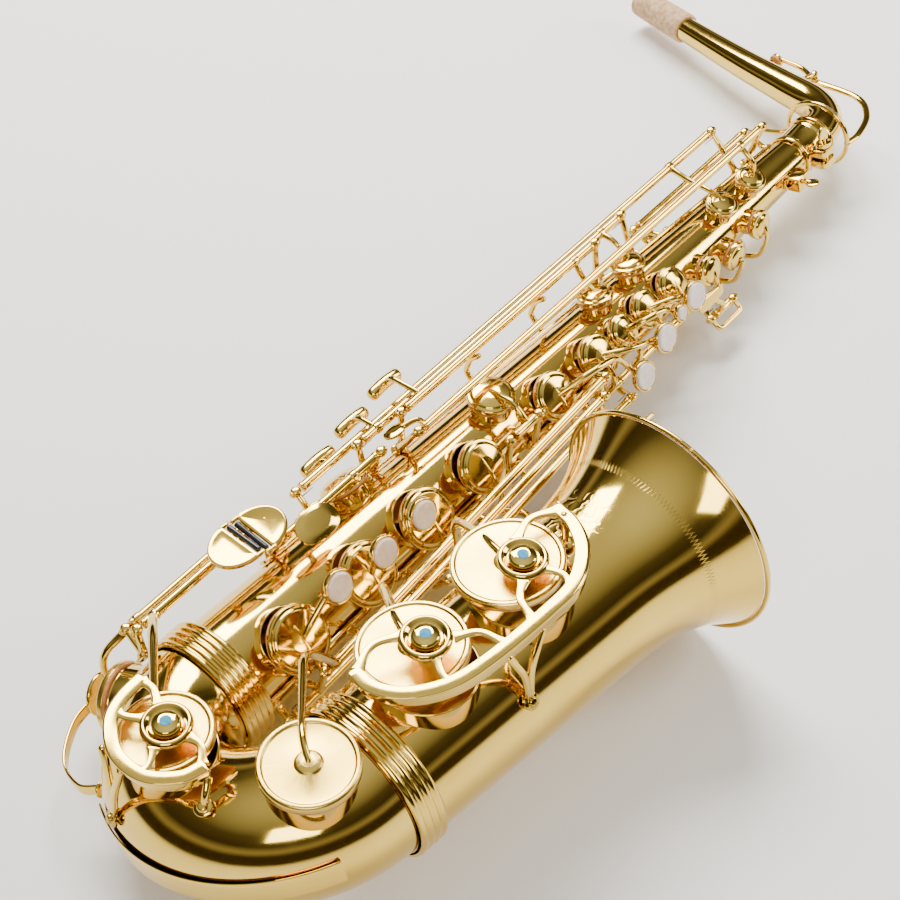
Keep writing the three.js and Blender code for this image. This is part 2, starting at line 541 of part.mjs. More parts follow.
// Palm keys: short levers over the left side, a finger spatula at the back and a cup in front.
function palmKey(name, hole, from, to, touchY, touchAngle) {
  const y = hole.root.y;
  const hinge = stretch(PALM_ROD, from, to);
  const touch = round(touchY, touchAngle, bodyRadius(touchY) + 11);
  const knee = round(y, -52, hole.reach + 11);
  return addKey(name, hinge, "shut", 3, hole, [
    tubeOf(hinge),
    cup(hole, 2.2),
    arm([along(PALM_ROD, y), knee, round(y, -17, hole.reach + 9), cupTop(hole)], 1.7),
    plate(oval(5.2, 11), 2.2, touch, spoke(touchAngle)),
    arm([along(PALM_ROD, (from + to) / 2), touch], 1.7),
  ]);
}
palmKey("palm_d_key", H.palm_d, 353, 371, 356, -146);
palmKey("palm_e_flat_key", H.palm_eb, 379, 396, 383, -148);
palmKey("palm_f_key", H.palm_f, 404, 422, 408, -142);

// Octave mechanism: thumb lever, a long rod whose pin moves the neck key's ring, and the body vent.
plainKey("octave_thumb_lever", [vec(-25, 352, -6), vec(-25, 352, 6)], -6, "shut", [
  rod(vec(-25, 352, -6), vec(-25, 352, 6), TUBE_R),
  plate(oval(6.5, 10), 2.4, vec(-30, 326, 0), vec(-1, 0, 0)),
  arm([vec(-25, 352, 0), vec(-28, 340, 0), vec(-29.6, 330, 0)], 1.8),
]);
plainKey("octave_rod", stretch(OCTAVE_ROD, 366, 470), 8, "shut", [
  tubeOf(stretch(OCTAVE_ROD, 366, 470)),
  arm([along(OCTAVE_ROD, 468), vec(-33, 472, 13), vec(-28, 490, 8), vec(-17.2, 501, 2), vec(-17.2, 513, 0)],
    1.3),
  arm([along(OCTAVE_ROD, 369), vec(-30, 364, 10), vec(-29, 358.5, 2)], 1.5),
]);
const ventRim = rimOf(H.octave_vent).add(vec(-GAP, 0, 0));
plainKey("octave_vent_key", [vec(-24, 372, -4), vec(-24, 372, 6)], 6, "shut", [
  rod(vec(-24, 372, -4), vec(-24, 372, 6), TUBE_R),
  arm([vec(-24, 372, 0), ventRim.clone().add(vec(-3, 0, 0))], 1.5),
  arm([vec(-24, 372, 0), vec(-25, 360, 0)], 1.4),
  turned([[0, 0], [4, 0], [4, 3], [0, 4]], ventRim, vec(-1, 0, 0), 12),
]);

// Rollers on the little fingers' touches.
function roller(name, centre, direction, length, r) {
  const half = direction.clone().normalize().multiplyScalar(length / 2);
  const made = rod(centre.clone().sub(half), centre.clone().add(half), r, r, 10);
  return add(name, made, { pivot: centre, axis: half.clone().normalize(), continuous: true }, 0x16120f, 0.3,
    0);
}
const lowCRoller = roller("low_c_roller", pinkyAt(0, 41.1), PINKY_ACROSS, 20, 1.6);
lowCRoller.quaternion.copy(lowCKey.quaternion);
lowCRoller.position.copy(lowCKey.position);
roller("low_e_flat_roller", pinkyAt(0, 44.9), PINKY_ACROSS, 20, 1.6);
const TABLE_ACROSS = vec(Math.sin(rad(50)), 0, Math.cos(rad(50)));
roller("table_roller", vec(48, 228.2, -24), TABLE_ACROSS, 24, 1.6);

// ---- Posts --------------------------------------------------------------------------------------
const BALL_R = 3.2;
// The ball head that carries the end of a hinge: "side" is 1 past its top, -1 below its bottom.
const headAt = (line, y, side) => along(line, y + side * (GAP + BALL_R));
function post(foot, head, bend, r = 1.8) {
  return join(arm([foot, ...(bend ? [bend] : []), head], r + 0.4, r), ball(head, BALL_R));
}
// A flat rib lying on the body along a line of constant angle.
function rib(degrees, from, to, width) {
  const lift = GAP + 1;
  return bar(round(from, degrees, bodyRadius(from) + lift), round(to, degrees, bodyRadius(to) + lift), width,
    1.9,
    spoke(degrees));
}
const onRib = (y, degrees) => round(y, degrees, bodyRadius(y) + GAP + 1.5);
// Posts from one rib: each [line, y, side] with the way round the leg takes, if it isn't straight.
function ribbedPosts(name, degrees, from, to, width, heads, extras = []) {
  add(name, join(rib(degrees, from, to, width), extras, heads.map(([line, y, side, bend]) => {
    const head = headAt(line, y, side);
    const foot = onRib(head.y, degrees);
    const first = bend ? bend.clone().setY(head.y) : head;
    // A leg that leaves along the surface starts a little higher.
    const rise = first.clone().sub(foot).normalize().dot(spoke(degrees));
    if (rise < 0.5) foot.addScaledVector(spoke(degrees), 0.8);
    return post(foot, head, bend && first);
  })));
}
ribbedPosts("lower_stack_posts", -12, 1.5, 191, 8, [
  [LOWER_ROD, 7, -1], [LOWER_ROD, 184, 1],
  [CSHARP_ROD, 23, -1, vec(44, 0, -4)], [BELL_ROD, 60, -1, vec(44, 0, -4)], [BB_ROD, 102, -1, vec(46, 0, -6)],
  [GSHARP_ROD, 184, -1],
]);
const frontFYoke = [headAt(FRONT_F_ROD, 352, -1), headAt(FRONT_F_ROD, 366, 1)];
ribbedPosts("upper_stack_posts", -12, 201, 351, 7, [
  [UPPER_ROD, 207.4, -1], [UPPER_ROD, 342, 1], [GSHARP_ROD, 200, 1],
  [BB_ROD, 226, 1, vec(42, 0, -5)], [BELL_ROD, 236, 1, vec(38, 0, -4)], [CSHARP_ROD, 246, 1, vec(33, 0, -3)],
  [LEVER_ROD, 252, -1, vec(20, 0, -18)], [LEVER_ROD, 270, 1, vec(20, 0, -18)], [FRONT_F_ROD, 352, -1],
], [
  arm([frontFYoke[0], ...frontFYoke.map((head) => head.clone().add(vec(5, 0, -6))), frontFYoke[1]], 1.5),
  ball(frontFYoke[1], BALL_R),
]);
ribbedPosts("side_key_posts", 128, 121, 453, 5, [
  [SIDE_C_ROD, 128, -1], [ALT_ROD, 125, 1], [HIGH_F_ROD, 151, -1], [SIDE_BB_ROD, 154, -1],
  [SIDE_BB_ROD, 306, 1], [SIDE_C_ROD, 338, 1], [SIDE_E_ROD, 436, 1], [HIGH_F_ROD, 446, 1],
], [208, 262].map((y) => arm([onRib(y, 128), vec(-19, y, 27), vec(-12.8, y, 36.6), vec(-6, y, 40.6)], 1.6)));
ribbedPosts("little_finger_posts", 122, 50, 93, 6, [
  [LOW_C_ROD, 60, 1], [LOW_EB_ROD, 60, 1], [ALT_ROD, 60, -1], [SIDE_E_ROD, 90, -1],
]);
ribbedPosts("palm_key_posts", -100, 345, 430, 6, [
  [PALM_ROD, 353, -1], [PALM_ROD, 375.2 - GAP - BALL_R, 1], [PALM_ROD, 400 - GAP - BALL_R, 1],
    [PALM_ROD, 422, 1],
]);

// Each short cross hinge of the octave mechanism hangs on one head.
function octavePosts() {
  const legs = [[352, 9.2, -25], [372, 9.2, -24]].map(([y, z, x]) =>
    join(arm([onRib(y, 150), vec(x, y, z)], 1.7), ball(vec(x, y, z), 2.5)));
  const ends = [[366, -1], [470, 1]].map(([y, side]) => {
    const head = headAt(OCTAVE_ROD, y, side);
    return post(onRib(head.y, 150), head);
  });
  return join(rib(150, 346, 477, 5), legs, ends);
}
add("octave_posts", octavePosts());

// The lower ends of the two little-finger keys stand on the bow.
function bowPosts() {
  const heads = [headAt(LOW_C_ROD, -18, -1), headAt(LOW_EB_ROD, -18, -1)];
  const foot = vec(-17.5, -24, 26.6);
  const out = vec(-0.5, -0.1, 0.86).normalize();
  return join(
    turned([[0, 0], [6, 0], [6, 1.2], [0, 2.4]], foot, out, 12),
    heads.map((head) => post(foot.clone().addScaledVector(out, 1), head)),
  );
}
add("bow_posts", bowPosts());

// ---- Key guards ---------------------------------------------------------------------------------
const SHEET = 1.6;

// A frame for a guard: across, ahead and up, with its zero at "root" on the tube's centre line.
function guardFrame(root, alongAxis) {
  const across = new THREE.Vector3().crossVectors(alongAxis, SIDE_FACE).normalize();
  const ahead = new THREE.Vector3().crossVectors(SIDE_FACE, across);
  const at = (u, v, h) =>
    root.clone().addScaledVector(across, u).addScaledVector(ahead, v).addScaledVector(SIDE_FACE, h);
  return { at, ahead };
}
// The outline of a strap of even width along a smooth flat curve.
function strap(points, width, steps) {
  const curve = new THREE.CatmullRomCurve3(points.map(([u, v]) => vec(u, v, 0)), false, "centripetal");
  const edge = (side) => Array.from({ length: steps + 1 }, (_, i) => {
    const p = curve.getPointAt(i / steps);
    const t = curve.getTangentAt(i / steps);
    return [p.x - side * t.y * width * 0.5, p.y + side * t.x * width * 0.5];
  });
  return [...edge(1), ...edge(-1).reverse()];
}
function guard(frame, height, bosses, rimLine, spokes, feet) {
  const { at, ahead } = frame;
  const flat = (outline, thick, h) => plate(outline, thick, at(0, 0, h), SIDE_FACE, ahead);
  const boss = [[3.9, 0], [11.5, 0], [11.5, 1.8], [9.6, 3], [7.6, 1.6], [3.9, 1.6], [3.9, 0]];
  return join(
    flat(strap(rimLine, 6, 9), SHEET, height + SHEET / 2),
    flat(strap(rimLine.map(([u, v]) => [u * 1.085, v + (v - bosses[0][1]) * 0.03]), 1.6, 9), 8, height - 2.8),
    bosses.map(([u, v]) => turned(boss, at(u, v, height), SIDE_FACE, 12)),
    spokes.map((line) => flat(strap(line, 3.2, 3), SHEET, height + SHEET / 2)),
    feet.map((points) => join(
      arm(points.slice(0, -1).map((p) => at(...p)), 1.7),
      turned([[0, 0], [4.2, 0], [4.2, 1.6], [2, 3.4], [0, 3.4]], at(...points.at(-2)),
        at(...points.at(-1)).sub(at(0, 0, 0)), 10),
    )),
  );
}
// A felt-tipped screw through the guard over a cup: it stops the key's rise.
function bumper(name, hole, height, lift) {
  const top = hole.root.clone().addScaledVector(hole.face, height);
  const drop = height - hole.reach - GAP - CUP_DEPTH - lift - 0.6;
  const profile = [[0, -drop], [3.5, -drop], [3.5, 2.1], [6.4, 2.1], [5.6, 3.9], [0, 5]];
  add(name, turned(profile, top, hole.face, 10), { pivot: top, axis: hole.face.clone(), continuous: true },
    0xe2c063);
}
const guardHeight = (hole, lift) => hole.reach + GAP + CUP_DEPTH + lift + 4;

const BELL_LIFT = 6.5;
const BELL_RISE = bellAxis.dot(SIDE_FACE); // the bell's axis climbs this much towards the guard for each mm
const bellGuardHeight = guardHeight(H.low_bb, BELL_LIFT) + 100 * BELL_RISE;
// A foot on the bell at across u and ahead v, and its normal.
function bellFootAt(u, v) {
  const out = bellRadius(v / BELL_LENGTH) + 1.3;
  const up = Math.sqrt(out * out - u * u);
  return [[u, v, up + v * BELL_RISE], [u / out, 0, up / out]];
}
add("bell_key_guard", guard(guardFrame(bellPoint(0), bellAxis), bellGuardHeight, [[0, 42], [0, 100]],
  [[-10, 131], [3, 129], [15, 121], [24, 106], [26, 88], [26, 55], [23, 34], [14, 18], [2, 10], [-9, 10]],
  [[[-9, 105], [-13, 118], [-8, 130]], [[10, 103], [18, 106], [25, 104]], [[8, 92], [14, 84], [25, 80]],
    [[8, 51], [14, 60], [25, 63]], [[10, 38], [18, 34], [23, 34]], [[-8, 36], [-13, 24], [-8, 11]]],
  [
    [[28.3, 82, bellGuardHeight - 5], [31, 73, 44], ...bellFootAt(33, 71)],
    [[28.3, 62, bellGuardHeight - 5], [31, 69, 44], ...bellFootAt(33, 71)],
    [[-4, 130, bellGuardHeight + 0.8], [-4, 132, 54], ...bellFootAt(-4, 132)],
  ]));
bumper("low_b_bumper", H.low_b, bellGuardHeight - 42 * BELL_RISE, BELL_LIFT);
bumper("low_b_flat_bumper", H.low_bb, bellGuardHeight - 100 * BELL_RISE, BELL_LIFT);

const C_LIFT = 6;
const cGuardHeight = guardHeight(H.low_c, C_LIFT);
add("low_c_guard", guard(guardFrame(H.low_c.root, vec(0, 1, 0)), cGuardHeight, [[0, 0]],
  [[-25, 10], [-24, -3], [-19, -14], [-6, -23], [10, -23], [22, -14], [26, -4]],
  [[[-10, 5], [-17, 9], [-24, 9]], [[-10, -4], [-17, -8], [-22, -8]], [[4, -11], [8, -17], [9, -22]],
    [[11, 2], [18, 2], [25, -4]]],
  [
    [[-16, -22.5, cGuardHeight - 5], [-10, -27, 32], [-10, -29.5, 12], [-0.33, -0.88, 0.35]],
    [[-2, -25.4, cGuardHeight - 5], [-8, -27.5, 32], [-10, -29.5, 12], [-0.33, -0.88, 0.35]],
    [[28, -5, cGuardHeight - 5], [31, -10, 48], [31, -12, 41.8], [0.1, -0.4, 0.9]],
  ]));
bumper("low_c_bumper", H.low_c, cGuardHeight, C_LIFT);

// Low E flat is covered by a strap that loops out from the bow, with a dished disc over the cup.
function lowEbGuard() {
  const face = H.low_eb.face;
  const height = guardHeight(H.low_eb, 4);
  const disc = turned([[0, 0], [11, 0], [11, 2.2], [8, 1.4], [0, 1]],
    H.low_eb.root.clone().addScaledVector(face, height), face, 16);
  const over = (degrees, h, z) => bowPoint(degrees, BOW_R + h).add(vec(0, 0, z));
  const loop = bent([over(50, 33.4, -3), over(47, 44, -3), over(38, height + 3, -2),
    over(26, height + 4.5, 0), over(16, height + 1, 0)], 1.7, 10);
  const foot = turned([[0, 0], [4.2, 0], [4.2, 1.4], [1.8, 3], [0, 3]], over(50, 32.8, -3), face, 10);
  return join(disc, loop, foot);
}
add("low_e_flat_guard", lowEbGuard());

// ---- Fittings -----------------------------------------------------------------------------------
function thumbHook() {
  const y = 106;
  const back = -bodyRadius(y) - GAP;
  const hook = plate([[0, -7], [-2.6, -7], [-2.6, 3], [-10, 6.5], [-15, 2], [-16.5, -9], [-19, -9], [-18, 4],
    [-11, 10.5],
    [-2, 9.6], [0, 9]], 13, vec(back - 1, y, 0), vec(0, 0, 1));
  const screws = [-10, 14].map((dy) => rod(vec(back - 1, y + dy, 0), vec(back - 3.6, y + dy, 0), 3, 2.4, 10));
  return join(bar(vec(back - 1.4, y - 15, 0), vec(back - 1.4, y + 19, 0), 13, 2, vec(-1, 0, 0)), hook,
    screws);
}
add("thumb_hook", thumbHook());

function strapRing() {
  const y = 206;
  const back = -bodyRadius(y) - GAP;
  const ringAt = (i) => vec(back - 8 + 7 * Math.cos((i * PI) / 6), y + 7 * Math.sin((i * PI) / 6), 0);
  const ring = bent(Array.from({ length: 12 }, (_, i) => ringAt(i + 0.3)), 1.6, 15, 6, true);
  return join(ring, bar(vec(back - 1.2, y - 9, 0), vec(back - 1.2, y + 9, 0), 10, 2.4, vec(-1, 0, 0)));
}
add("strap_ring", strapRing());

function thumbRest() {
  const y = 300;
  const back = -bodyRadius(y) - GAP;
  return turned([[0, 0], [8, 0], [8.6, 3], [7.4, 5.2], [0, 6.4]], vec(back, y, 0), vec(-1, 0, 0), 18);
}
add("thumb_rest", thumbRest(), null, 0x1a1612, 0.35, 0);

// A wire ring holds the bell to the body.
function bellBrace() {
  const y = 147;
  const [x, z, r] = [50, -6, 13];
  const ring = bent(Array.from({ length: 12 },
    (_, i) => vec(x + r * Math.cos((i * PI) / 6), y + r * Math.sin((i * PI) / 6), z)),
    2, 20, 6, true);
  const bodyFoot = onRib(y, -12).addScaledVector(spoke(-12), 1.9);
  const bellFace = vec(-bellAxis.y, bellAxis.x, 0);
  const bellSide = bellPoint(163).addScaledVector(bellFace,
    bellRadius(168 / BELL_LENGTH) + 2.2).add(vec(0, 0, z));
  return join(
    ring,
    bar(bodyFoot.clone().add(vec(0, -9, 0)), bodyFoot.clone().add(vec(0, 9, 0)), 8, 1.8, spoke(-12)),
    rod(bodyFoot, vec(x - r, y, z), 2.2),
    bar(bellSide.clone().addScaledVector(bellAxis, -9), bellSide.clone().addScaledVector(bellAxis, 9), 10,
      1.8, bellFace),
    rod(bellSide, vec(x + r, y, z), 2.2),
  );
}
add("bell_brace", bellBrace());

function bowGuard() {
  const reach = (degrees) => BOW_R + mix(BOW_R_IN, BOW_R_OUT, degrees / BOW_TURN) + 0.45;
  const stops = Array.from({ length: 13 }, (_, i) => 62 + i * 7.5);
  const outline = [...stops.map((d) => bowPoint(d, reach(d))),
    ...stops.toReversed().map((d) => bowPoint(d, reach(d) + 1.3))];
  return plate(outline.map((p) => [p.x, p.y]), 13, vec(0, 0, 0), vec(0, 0, 1));
}
add("bow_guard", bowGuard());

// The socket for a music holder, with its thumb screw.
function lyreHolder() {
  const y = 461;
  const front = bodyRadius(y) + GAP;
  const box = bar(vec(front + 4.6, y - 6, 0), vec(front + 4.6, y + 6, 0), 9, 9, vec(1, 0, 0));
  const hole = bar(vec(front + 4.9, y - 8, 0), vec(front + 4.9, y + 8, 0), 6, 6, vec(1, 0, 0));
  const screw = join(rod(vec(front + 8, y, 0), vec(front + 13, y, 0), 1.6),
    plate(oval(4.5, 3.6), 2, vec(front + 14, y, 0), vec(0, 0, 1)));
  return join(box.subtract(hole), screw,
    bar(vec(front + 0.9, y - 8, 0), vec(front + 0.9, y + 8, 0), 7, 1.8, vec(1, 0, 0)));
}
add("lyre_holder", lyreHolder());

// ---- Laid down ----------------------------------------------------------------------------------
const lying = new THREE.Group();
lying.add(part);
part.rotation.set(rad(PITCH), rad(-ROLL), 0);
const box = new THREE.Box3().setFromObject(lying, true);
const middle = box.getCenter(new THREE.Vector3());
part.position.set(-middle.x, -middle.y, -box.min.z);

export default lying;
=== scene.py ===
"""Alto saxophone lying on its side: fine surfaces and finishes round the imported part."""

import json
import math

import bpy
import numpy as np
from bpy.props import FloatProperty, FloatVectorProperty, PointerProperty
from mathutils import Matrix


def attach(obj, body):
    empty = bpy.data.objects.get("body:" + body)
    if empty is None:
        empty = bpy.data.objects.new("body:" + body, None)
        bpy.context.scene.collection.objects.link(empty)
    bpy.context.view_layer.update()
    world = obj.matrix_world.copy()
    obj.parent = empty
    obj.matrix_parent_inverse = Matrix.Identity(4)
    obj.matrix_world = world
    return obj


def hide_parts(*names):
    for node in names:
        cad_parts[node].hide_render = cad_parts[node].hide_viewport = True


bl_info = {
    "name": "Alto Saxophone Maker",
    "version": (1, 0, 0),
    "blender": (4, 5, 0),
    "location": "3D View > Sidebar > Saxophone",
    "description": "Builds an alto saxophone's tubes, keywork, guards and fittings, and a studio for it",
    "category": "Add Mesh",
}

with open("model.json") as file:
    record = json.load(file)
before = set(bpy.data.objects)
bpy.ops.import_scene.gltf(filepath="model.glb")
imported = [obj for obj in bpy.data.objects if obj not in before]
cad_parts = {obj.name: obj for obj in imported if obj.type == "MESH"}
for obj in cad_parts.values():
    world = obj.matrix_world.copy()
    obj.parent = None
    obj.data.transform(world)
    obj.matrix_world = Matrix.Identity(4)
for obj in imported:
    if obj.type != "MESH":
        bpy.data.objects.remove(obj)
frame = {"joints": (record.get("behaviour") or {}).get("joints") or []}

# ---- Driving dimensions, in millimetres and in the instrument's own axes --------------------------
# x runs from the body to the bell, y up the body from the bow to the neck, z to the player's right.
BODY_LENGTH = 478
BODY_R_LOW = 28.5
BODY_R_TOP = 12.6
WALL = 1.0
BOW_R = 52.5
BOW_Y = -12
BOW_R_IN = 29.5
BOW_R_OUT = 36
BELL_LENGTH = 200
BELL_LEAN = 5.5
BELL_R_LOW = 36.5
BELL_THROAT_R = 43
FLARE_AT = 0.66  # the share of the bell's length where its flare begins
RIM_R = 62.5
CHIMNEY = 4.5
GAP = 0.35  # left between parts that don't touch
CUP_DEPTH = 6.6
BALL_R = 3.2  # a post's ball head
SHEET = 1.6  # the key guards' sheet
BELL_KEY_LIFT = 6.5  # how far a low key opens, at its cup
LOW_C_LIFT = 6
LOW_EB_LIFT = 4
ROLL = 14.14  # how far the instrument leans over where it lies, degrees
PITCH = -0.045  # and how far its length tips, degrees
NECK_TURN = 9
TENON_R = 11.9
NECK_TIP_R = 6.6
CORK_LENGTH = 48
PIVOT_AT = 0.34  # shares of the neck's length: the octave key's pivot and its vent
VENT_AT = 0.49
OCTAVE_RING_R = 20.4
RECEIVER_BASE = BODY_LENGTH + GAP
RECEIVER_TOP = RECEIVER_BASE + 22
HORN = "horn"  # the body that everything fixed belongs to


def vec(x, y, z):
    """A point or direction from its three parts."""
    return np.array([x, y, z], float)


FRONT, BACK, UP, RIGHT = vec(1, 0, 0), vec(-1, 0, 0), vec(0, 1, 0), vec(0, 0, 1)


def mix(a, b, t):
    """The value a share t of the way from a to b."""
    return a + (b - a) * t


def unit(v):
    """A direction, or rows of them, with a length of one."""
    v = np.asarray(v, float)
    return v / np.linalg.norm(v, axis=-1, keepdims=True)


# ---- Surfaces -------------------------------------------------------------------------------------
def skin(rings, loop=False, tips=None, u=None):
    """A surface over a grid of rings: point j of ring i is number i * sides + j, and each four-sided
    face joins points j and j + 1 of one ring to the next. The ends close as fans on tips, or on the
    ends' middles; with loop, the last ring joins the first. "u" places the rings in the UV map."""
    rings = np.asarray(rings, float)
    count, sides = rings.shape[:2]
    spans = count if loop else count - 1
    i, j = np.meshgrid(np.arange(spans), np.arange(sides), indexing="ij")
    i2, j2 = (i + 1) % count, (j + 1) % sides
    quads = np.stack([i * sides + j, i * sides + j2, i2 * sides + j2, i2 * sides + j], -1).reshape(-1, 4)
    rows = np.arange(count + 1, dtype=float) / count if u is None else np.append(u, u[-1])
    uv = np.stack([
        np.stack([rows[i], j / sides], -1), np.stack([rows[i], (j + 1) / sides], -1),
        np.stack([rows[i + 1], (j + 1) / sides], -1), np.stack([rows[i + 1], j / sides], -1),
    ], 2).reshape(-1, 2)
    points = rings.reshape(-1, 3)
    faces = quads.reshape(-1)
    sizes = np.full(len(quads), 4)
    if not loop:
        ends = tips or (rings[0].mean(0), rings[-1].mean(0))
        n = len(points)
        points = np.vstack([points, ends])
        a = np.arange(sides)
        b = (a + 1) % sides
        low = np.stack([np.full(sides, n), b, a], -1).reshape(-1)
        top = (count - 1) * sides
        high = np.stack([np.full(sides, n + 1), top + a, top + b], -1).reshape(-1)
        faces = np.concatenate([faces, low, high])
        sizes = np.concatenate([sizes, np.full(2 * sides, 3)])
        edge = np.repeat([[rows[0], 0.5], [rows[count - 1], 0.5]], 3 * sides, axis=0)
        uv = np.vstack([uv, edge])
    # Twice the enclosed volume is less than none where the faces look inwards.
    corner = points[quads]
    volume = np.einsum("ij,ij->", corner[:, 0], np.cross(corner[:, 1], corner[:, 2]))
    volume += np.einsum("ij,ij->", corner[:, 0], np.cross(corner[:, 2], corner[:, 3]))
    if not loop:
        fans = points[faces[len(quads) * 4:].reshape(-1, 3)]
        volume += np.einsum("ij,ij->", fans[:, 0], np.cross(fans[:, 1], fans[:, 2]))
    if volume < 0:
        starts = np.concatenate([[0], np.cumsum(sizes)[:-1]])
        order = np.concatenate([
            (starts[sizes == 4][:, None] + [3, 2, 1, 0]).reshape(-1),
            (starts[sizes == 3][:, None] + [2, 1, 0]).reshape(-1),
        ])
        faces, uv = faces[order], uv[order]
    return points, faces, sizes, uv


def eased(points, reach, closed=False, steps=4):
    """A polyline with each corner cut back by "reach" and rounded with a quadratic curve."""
    points = np.asarray(points, float)
    last = len(points)
    out = []
    for i, p in enumerate(points):
        if not closed and i in (0, last - 1):
            out.append(p[None])
            continue
        before, after = points[i - 1] - p, points[(i + 1) % last] - p
        cut = [min(reach / max(np.linalg.norm(e), 1e-9), 0.48) for e in (before, after)]
        a, b = p + before * cut[0], p + after * cut[1]
        t = np.linspace(0, 1, steps)[:, None]
        out.append(a * (1 - t) ** 2 + 2 * p * t * (1 - t) + b * t ** 2)
    return np.vstack(out)


def basis(up, side=(0, 0, 1)):
    """Three square axes: across, along "up", and as near to "side" as can be."""
    y = unit(up)
    x = np.cross(y, side)
    if np.linalg.norm(x) < 1e-3:
        x = np.cross(y, (1, 0.01, 0))
    x = unit(x)
    return x, y, np.cross(x, y)


def circles(first, second, sides, flat=1.0):
    """A circle to each row: cos t of its first direction and sin t of its second, made "flat"."""
    t = np.linspace(0, 2 * np.pi, sides, endpoint=False)
    return np.cos(t)[None, :, None] * first[:, None] + flat * np.sin(t)[None, :, None] * second[:, None]


def turned(profile, origin, up, sides=36, corner=0.45):
    """A turned piece: points (radius, height) with rounded corners, carried round "up"."""
    ring = tuple(profile[0]) == tuple(profile[-1])
    line = eased(profile[:-1] if ring else profile, corner, ring)
    x, y, z = basis(up)
    tips = None
    if not ring:
        tips = (origin + y * line[0][1], origin + y * line[-1][1])
        line = line[line[:, 0] > 1e-6]
    rings = origin + line[:, 0, None, None] * circles(x[None], z[None], sides) + line[:, 1, None, None] * y
    return skin(rings, ring, tips)


def ball(centre, r, sides=22):
    """A sphere: rings of radius r sin t at heights -r cos t."""
    t = np.linspace(0, np.pi, sides // 2 + 1)
    line = np.stack([r * np.sin(t), -r * np.cos(t)], -1)
    line[[0, -1], 0] = 0
    return turned(line, centre, UP, sides, 0)


def carried(path, closed=False):
    """Axes carried along a path without twisting: the tangents and two square directions."""
    step = np.roll(path, -1, 0) - np.roll(path, 1, 0)
    if not closed:
        step[0], step[-1] = path[1] - path[0], path[-1] - path[-2]
    tangent = unit(step)
    side = basis(tangent[0])[0]
    sides = []
    for t in tangent:
        side = unit(side - t * (side @ t))
        sides.append(side)
    first = np.array(sides)
    return tangent, first, np.cross(tangent, first)


def pipe(points, r, r_end=None, bend=5.0, sides=14, flat=1.0, face=None):
    """A round or oval bar along a line with rounded corners, its width easing from r to r_end and
    its ends domed. With "face" its section is thinner that way by "flat"."""
    path = eased(points, bend, steps=7)
    length = np.append(0, np.cumsum(np.linalg.norm(np.diff(path, axis=0), axis=1)))
    radius = mix(r, r if r_end is None else r_end, length / length[-1])
    tangent, a, b = carried(path)
    if face is not None:
        a = unit(np.cross(tangent, face))
        b = np.cross(tangent, a)
    dome = np.radians([80, 55, 30])
    head = path[0] - tangent[0] * np.sin(dome)[:, None] * radius[0] * 0.7
    tail = path[-1] + tangent[-1] * np.sin(dome[::-1])[:, None] * radius[-1] * 0.7
    path = np.vstack([head, path, tail])
    radius = np.concatenate([radius[0] * np.cos(dome), radius, radius[-1] * np.cos(dome[::-1])])
    a = np.vstack([np.repeat(a[:1], 3, 0), a, np.repeat(a[-1:], 3, 0)])
    b = np.vstack([np.repeat(b[:1], 3, 0), b, np.repeat(b[-1:], 3, 0)])
    return skin(path[:, None] + radius[:, None, None] * circles(a, b, sides, flat))


def hoop(place, r, steps=72, sides=14):
    """A closed round bar: a circle of radius r carried round the closed line place(turn)."""
    path = place(np.linspace(0, 2 * np.pi, steps, endpoint=False))
    _, a, b = carried(path, True)
    return skin(path[:, None] + r * circles(a, b, sides), True)


def circle(centre, first, second, r):
    """A hoop's line: at a turn a, r cos a of one direction and r sin a of the other from the centre."""
    return lambda a: centre + r * (np.cos(a)[:, None] * first + np.sin(a)[:, None] * second)


def ribbon(path, face, width, thick, ends=0.5):
    """A flat strap along a path: a rounded oblong, "width" across and "thick" along "face"."""
    path = np.asarray(path, float)
    tangent = unit(np.gradient(path, axis=0))
    face = np.broadcast_to(unit(face), path.shape)
    side = unit(np.cross(tangent, face))
    up = np.cross(side, tangent)
    half = np.broadcast_to(np.asarray(width, float) / 2, len(path))
    angle = np.linspace(0, 2 * np.pi, 20, endpoint=False)
    c, s = np.cos(angle), np.sin(angle)
    # A squared-off circle: powers below one push its sides out towards an oblong's.
    across = np.sign(c) * np.abs(c) ** 0.35
    above = np.sign(s) * np.abs(s) ** 0.6 * thick / 2
    rings = path[:, None] + across[None, :, None] * half[:, None, None] * side[:, None] \
        + above[None, :, None] * up[:, None]
    nose = rings[:1] * 0.82 + path[:1, None] * 0.18 - tangent[:1, None] * ends
    tail = rings[-1:] * 0.82 + path[-1:, None] * 0.18 + tangent[-1:, None] * ends
    return skin(np.concatenate([nose, rings, tail]))


def smooth(points, count=40):
    """A smooth line through a few points: a Catmull-Rom curve, evenly sampled along its length."""
    p = np.asarray(points, float)
    p = np.vstack([2 * p[0] - p[1], p, 2 * p[-1] - p[-2]])
    out = []
    for i in range(1, len(p) - 2):
        t = np.linspace(0, 1, 24, endpoint=i == len(p) - 3)[:, None]
        a, b, c, d = p[i - 1:i + 3]
        out.append(0.5 * (2 * b + (c - a) * t + (2 * a - 5 * b + 4 * c - d) * t ** 2
                          + (3 * b - a - 3 * c + d) * t ** 3))
    line = np.vstack(out)
    length = np.append(0, np.cumsum(np.linalg.norm(np.diff(line, axis=0), axis=1)))
    even = np.linspace(0, length[-1], count)
    return np.stack([np.interp(even, length, line[:, k]) for k in range(3)], -1)


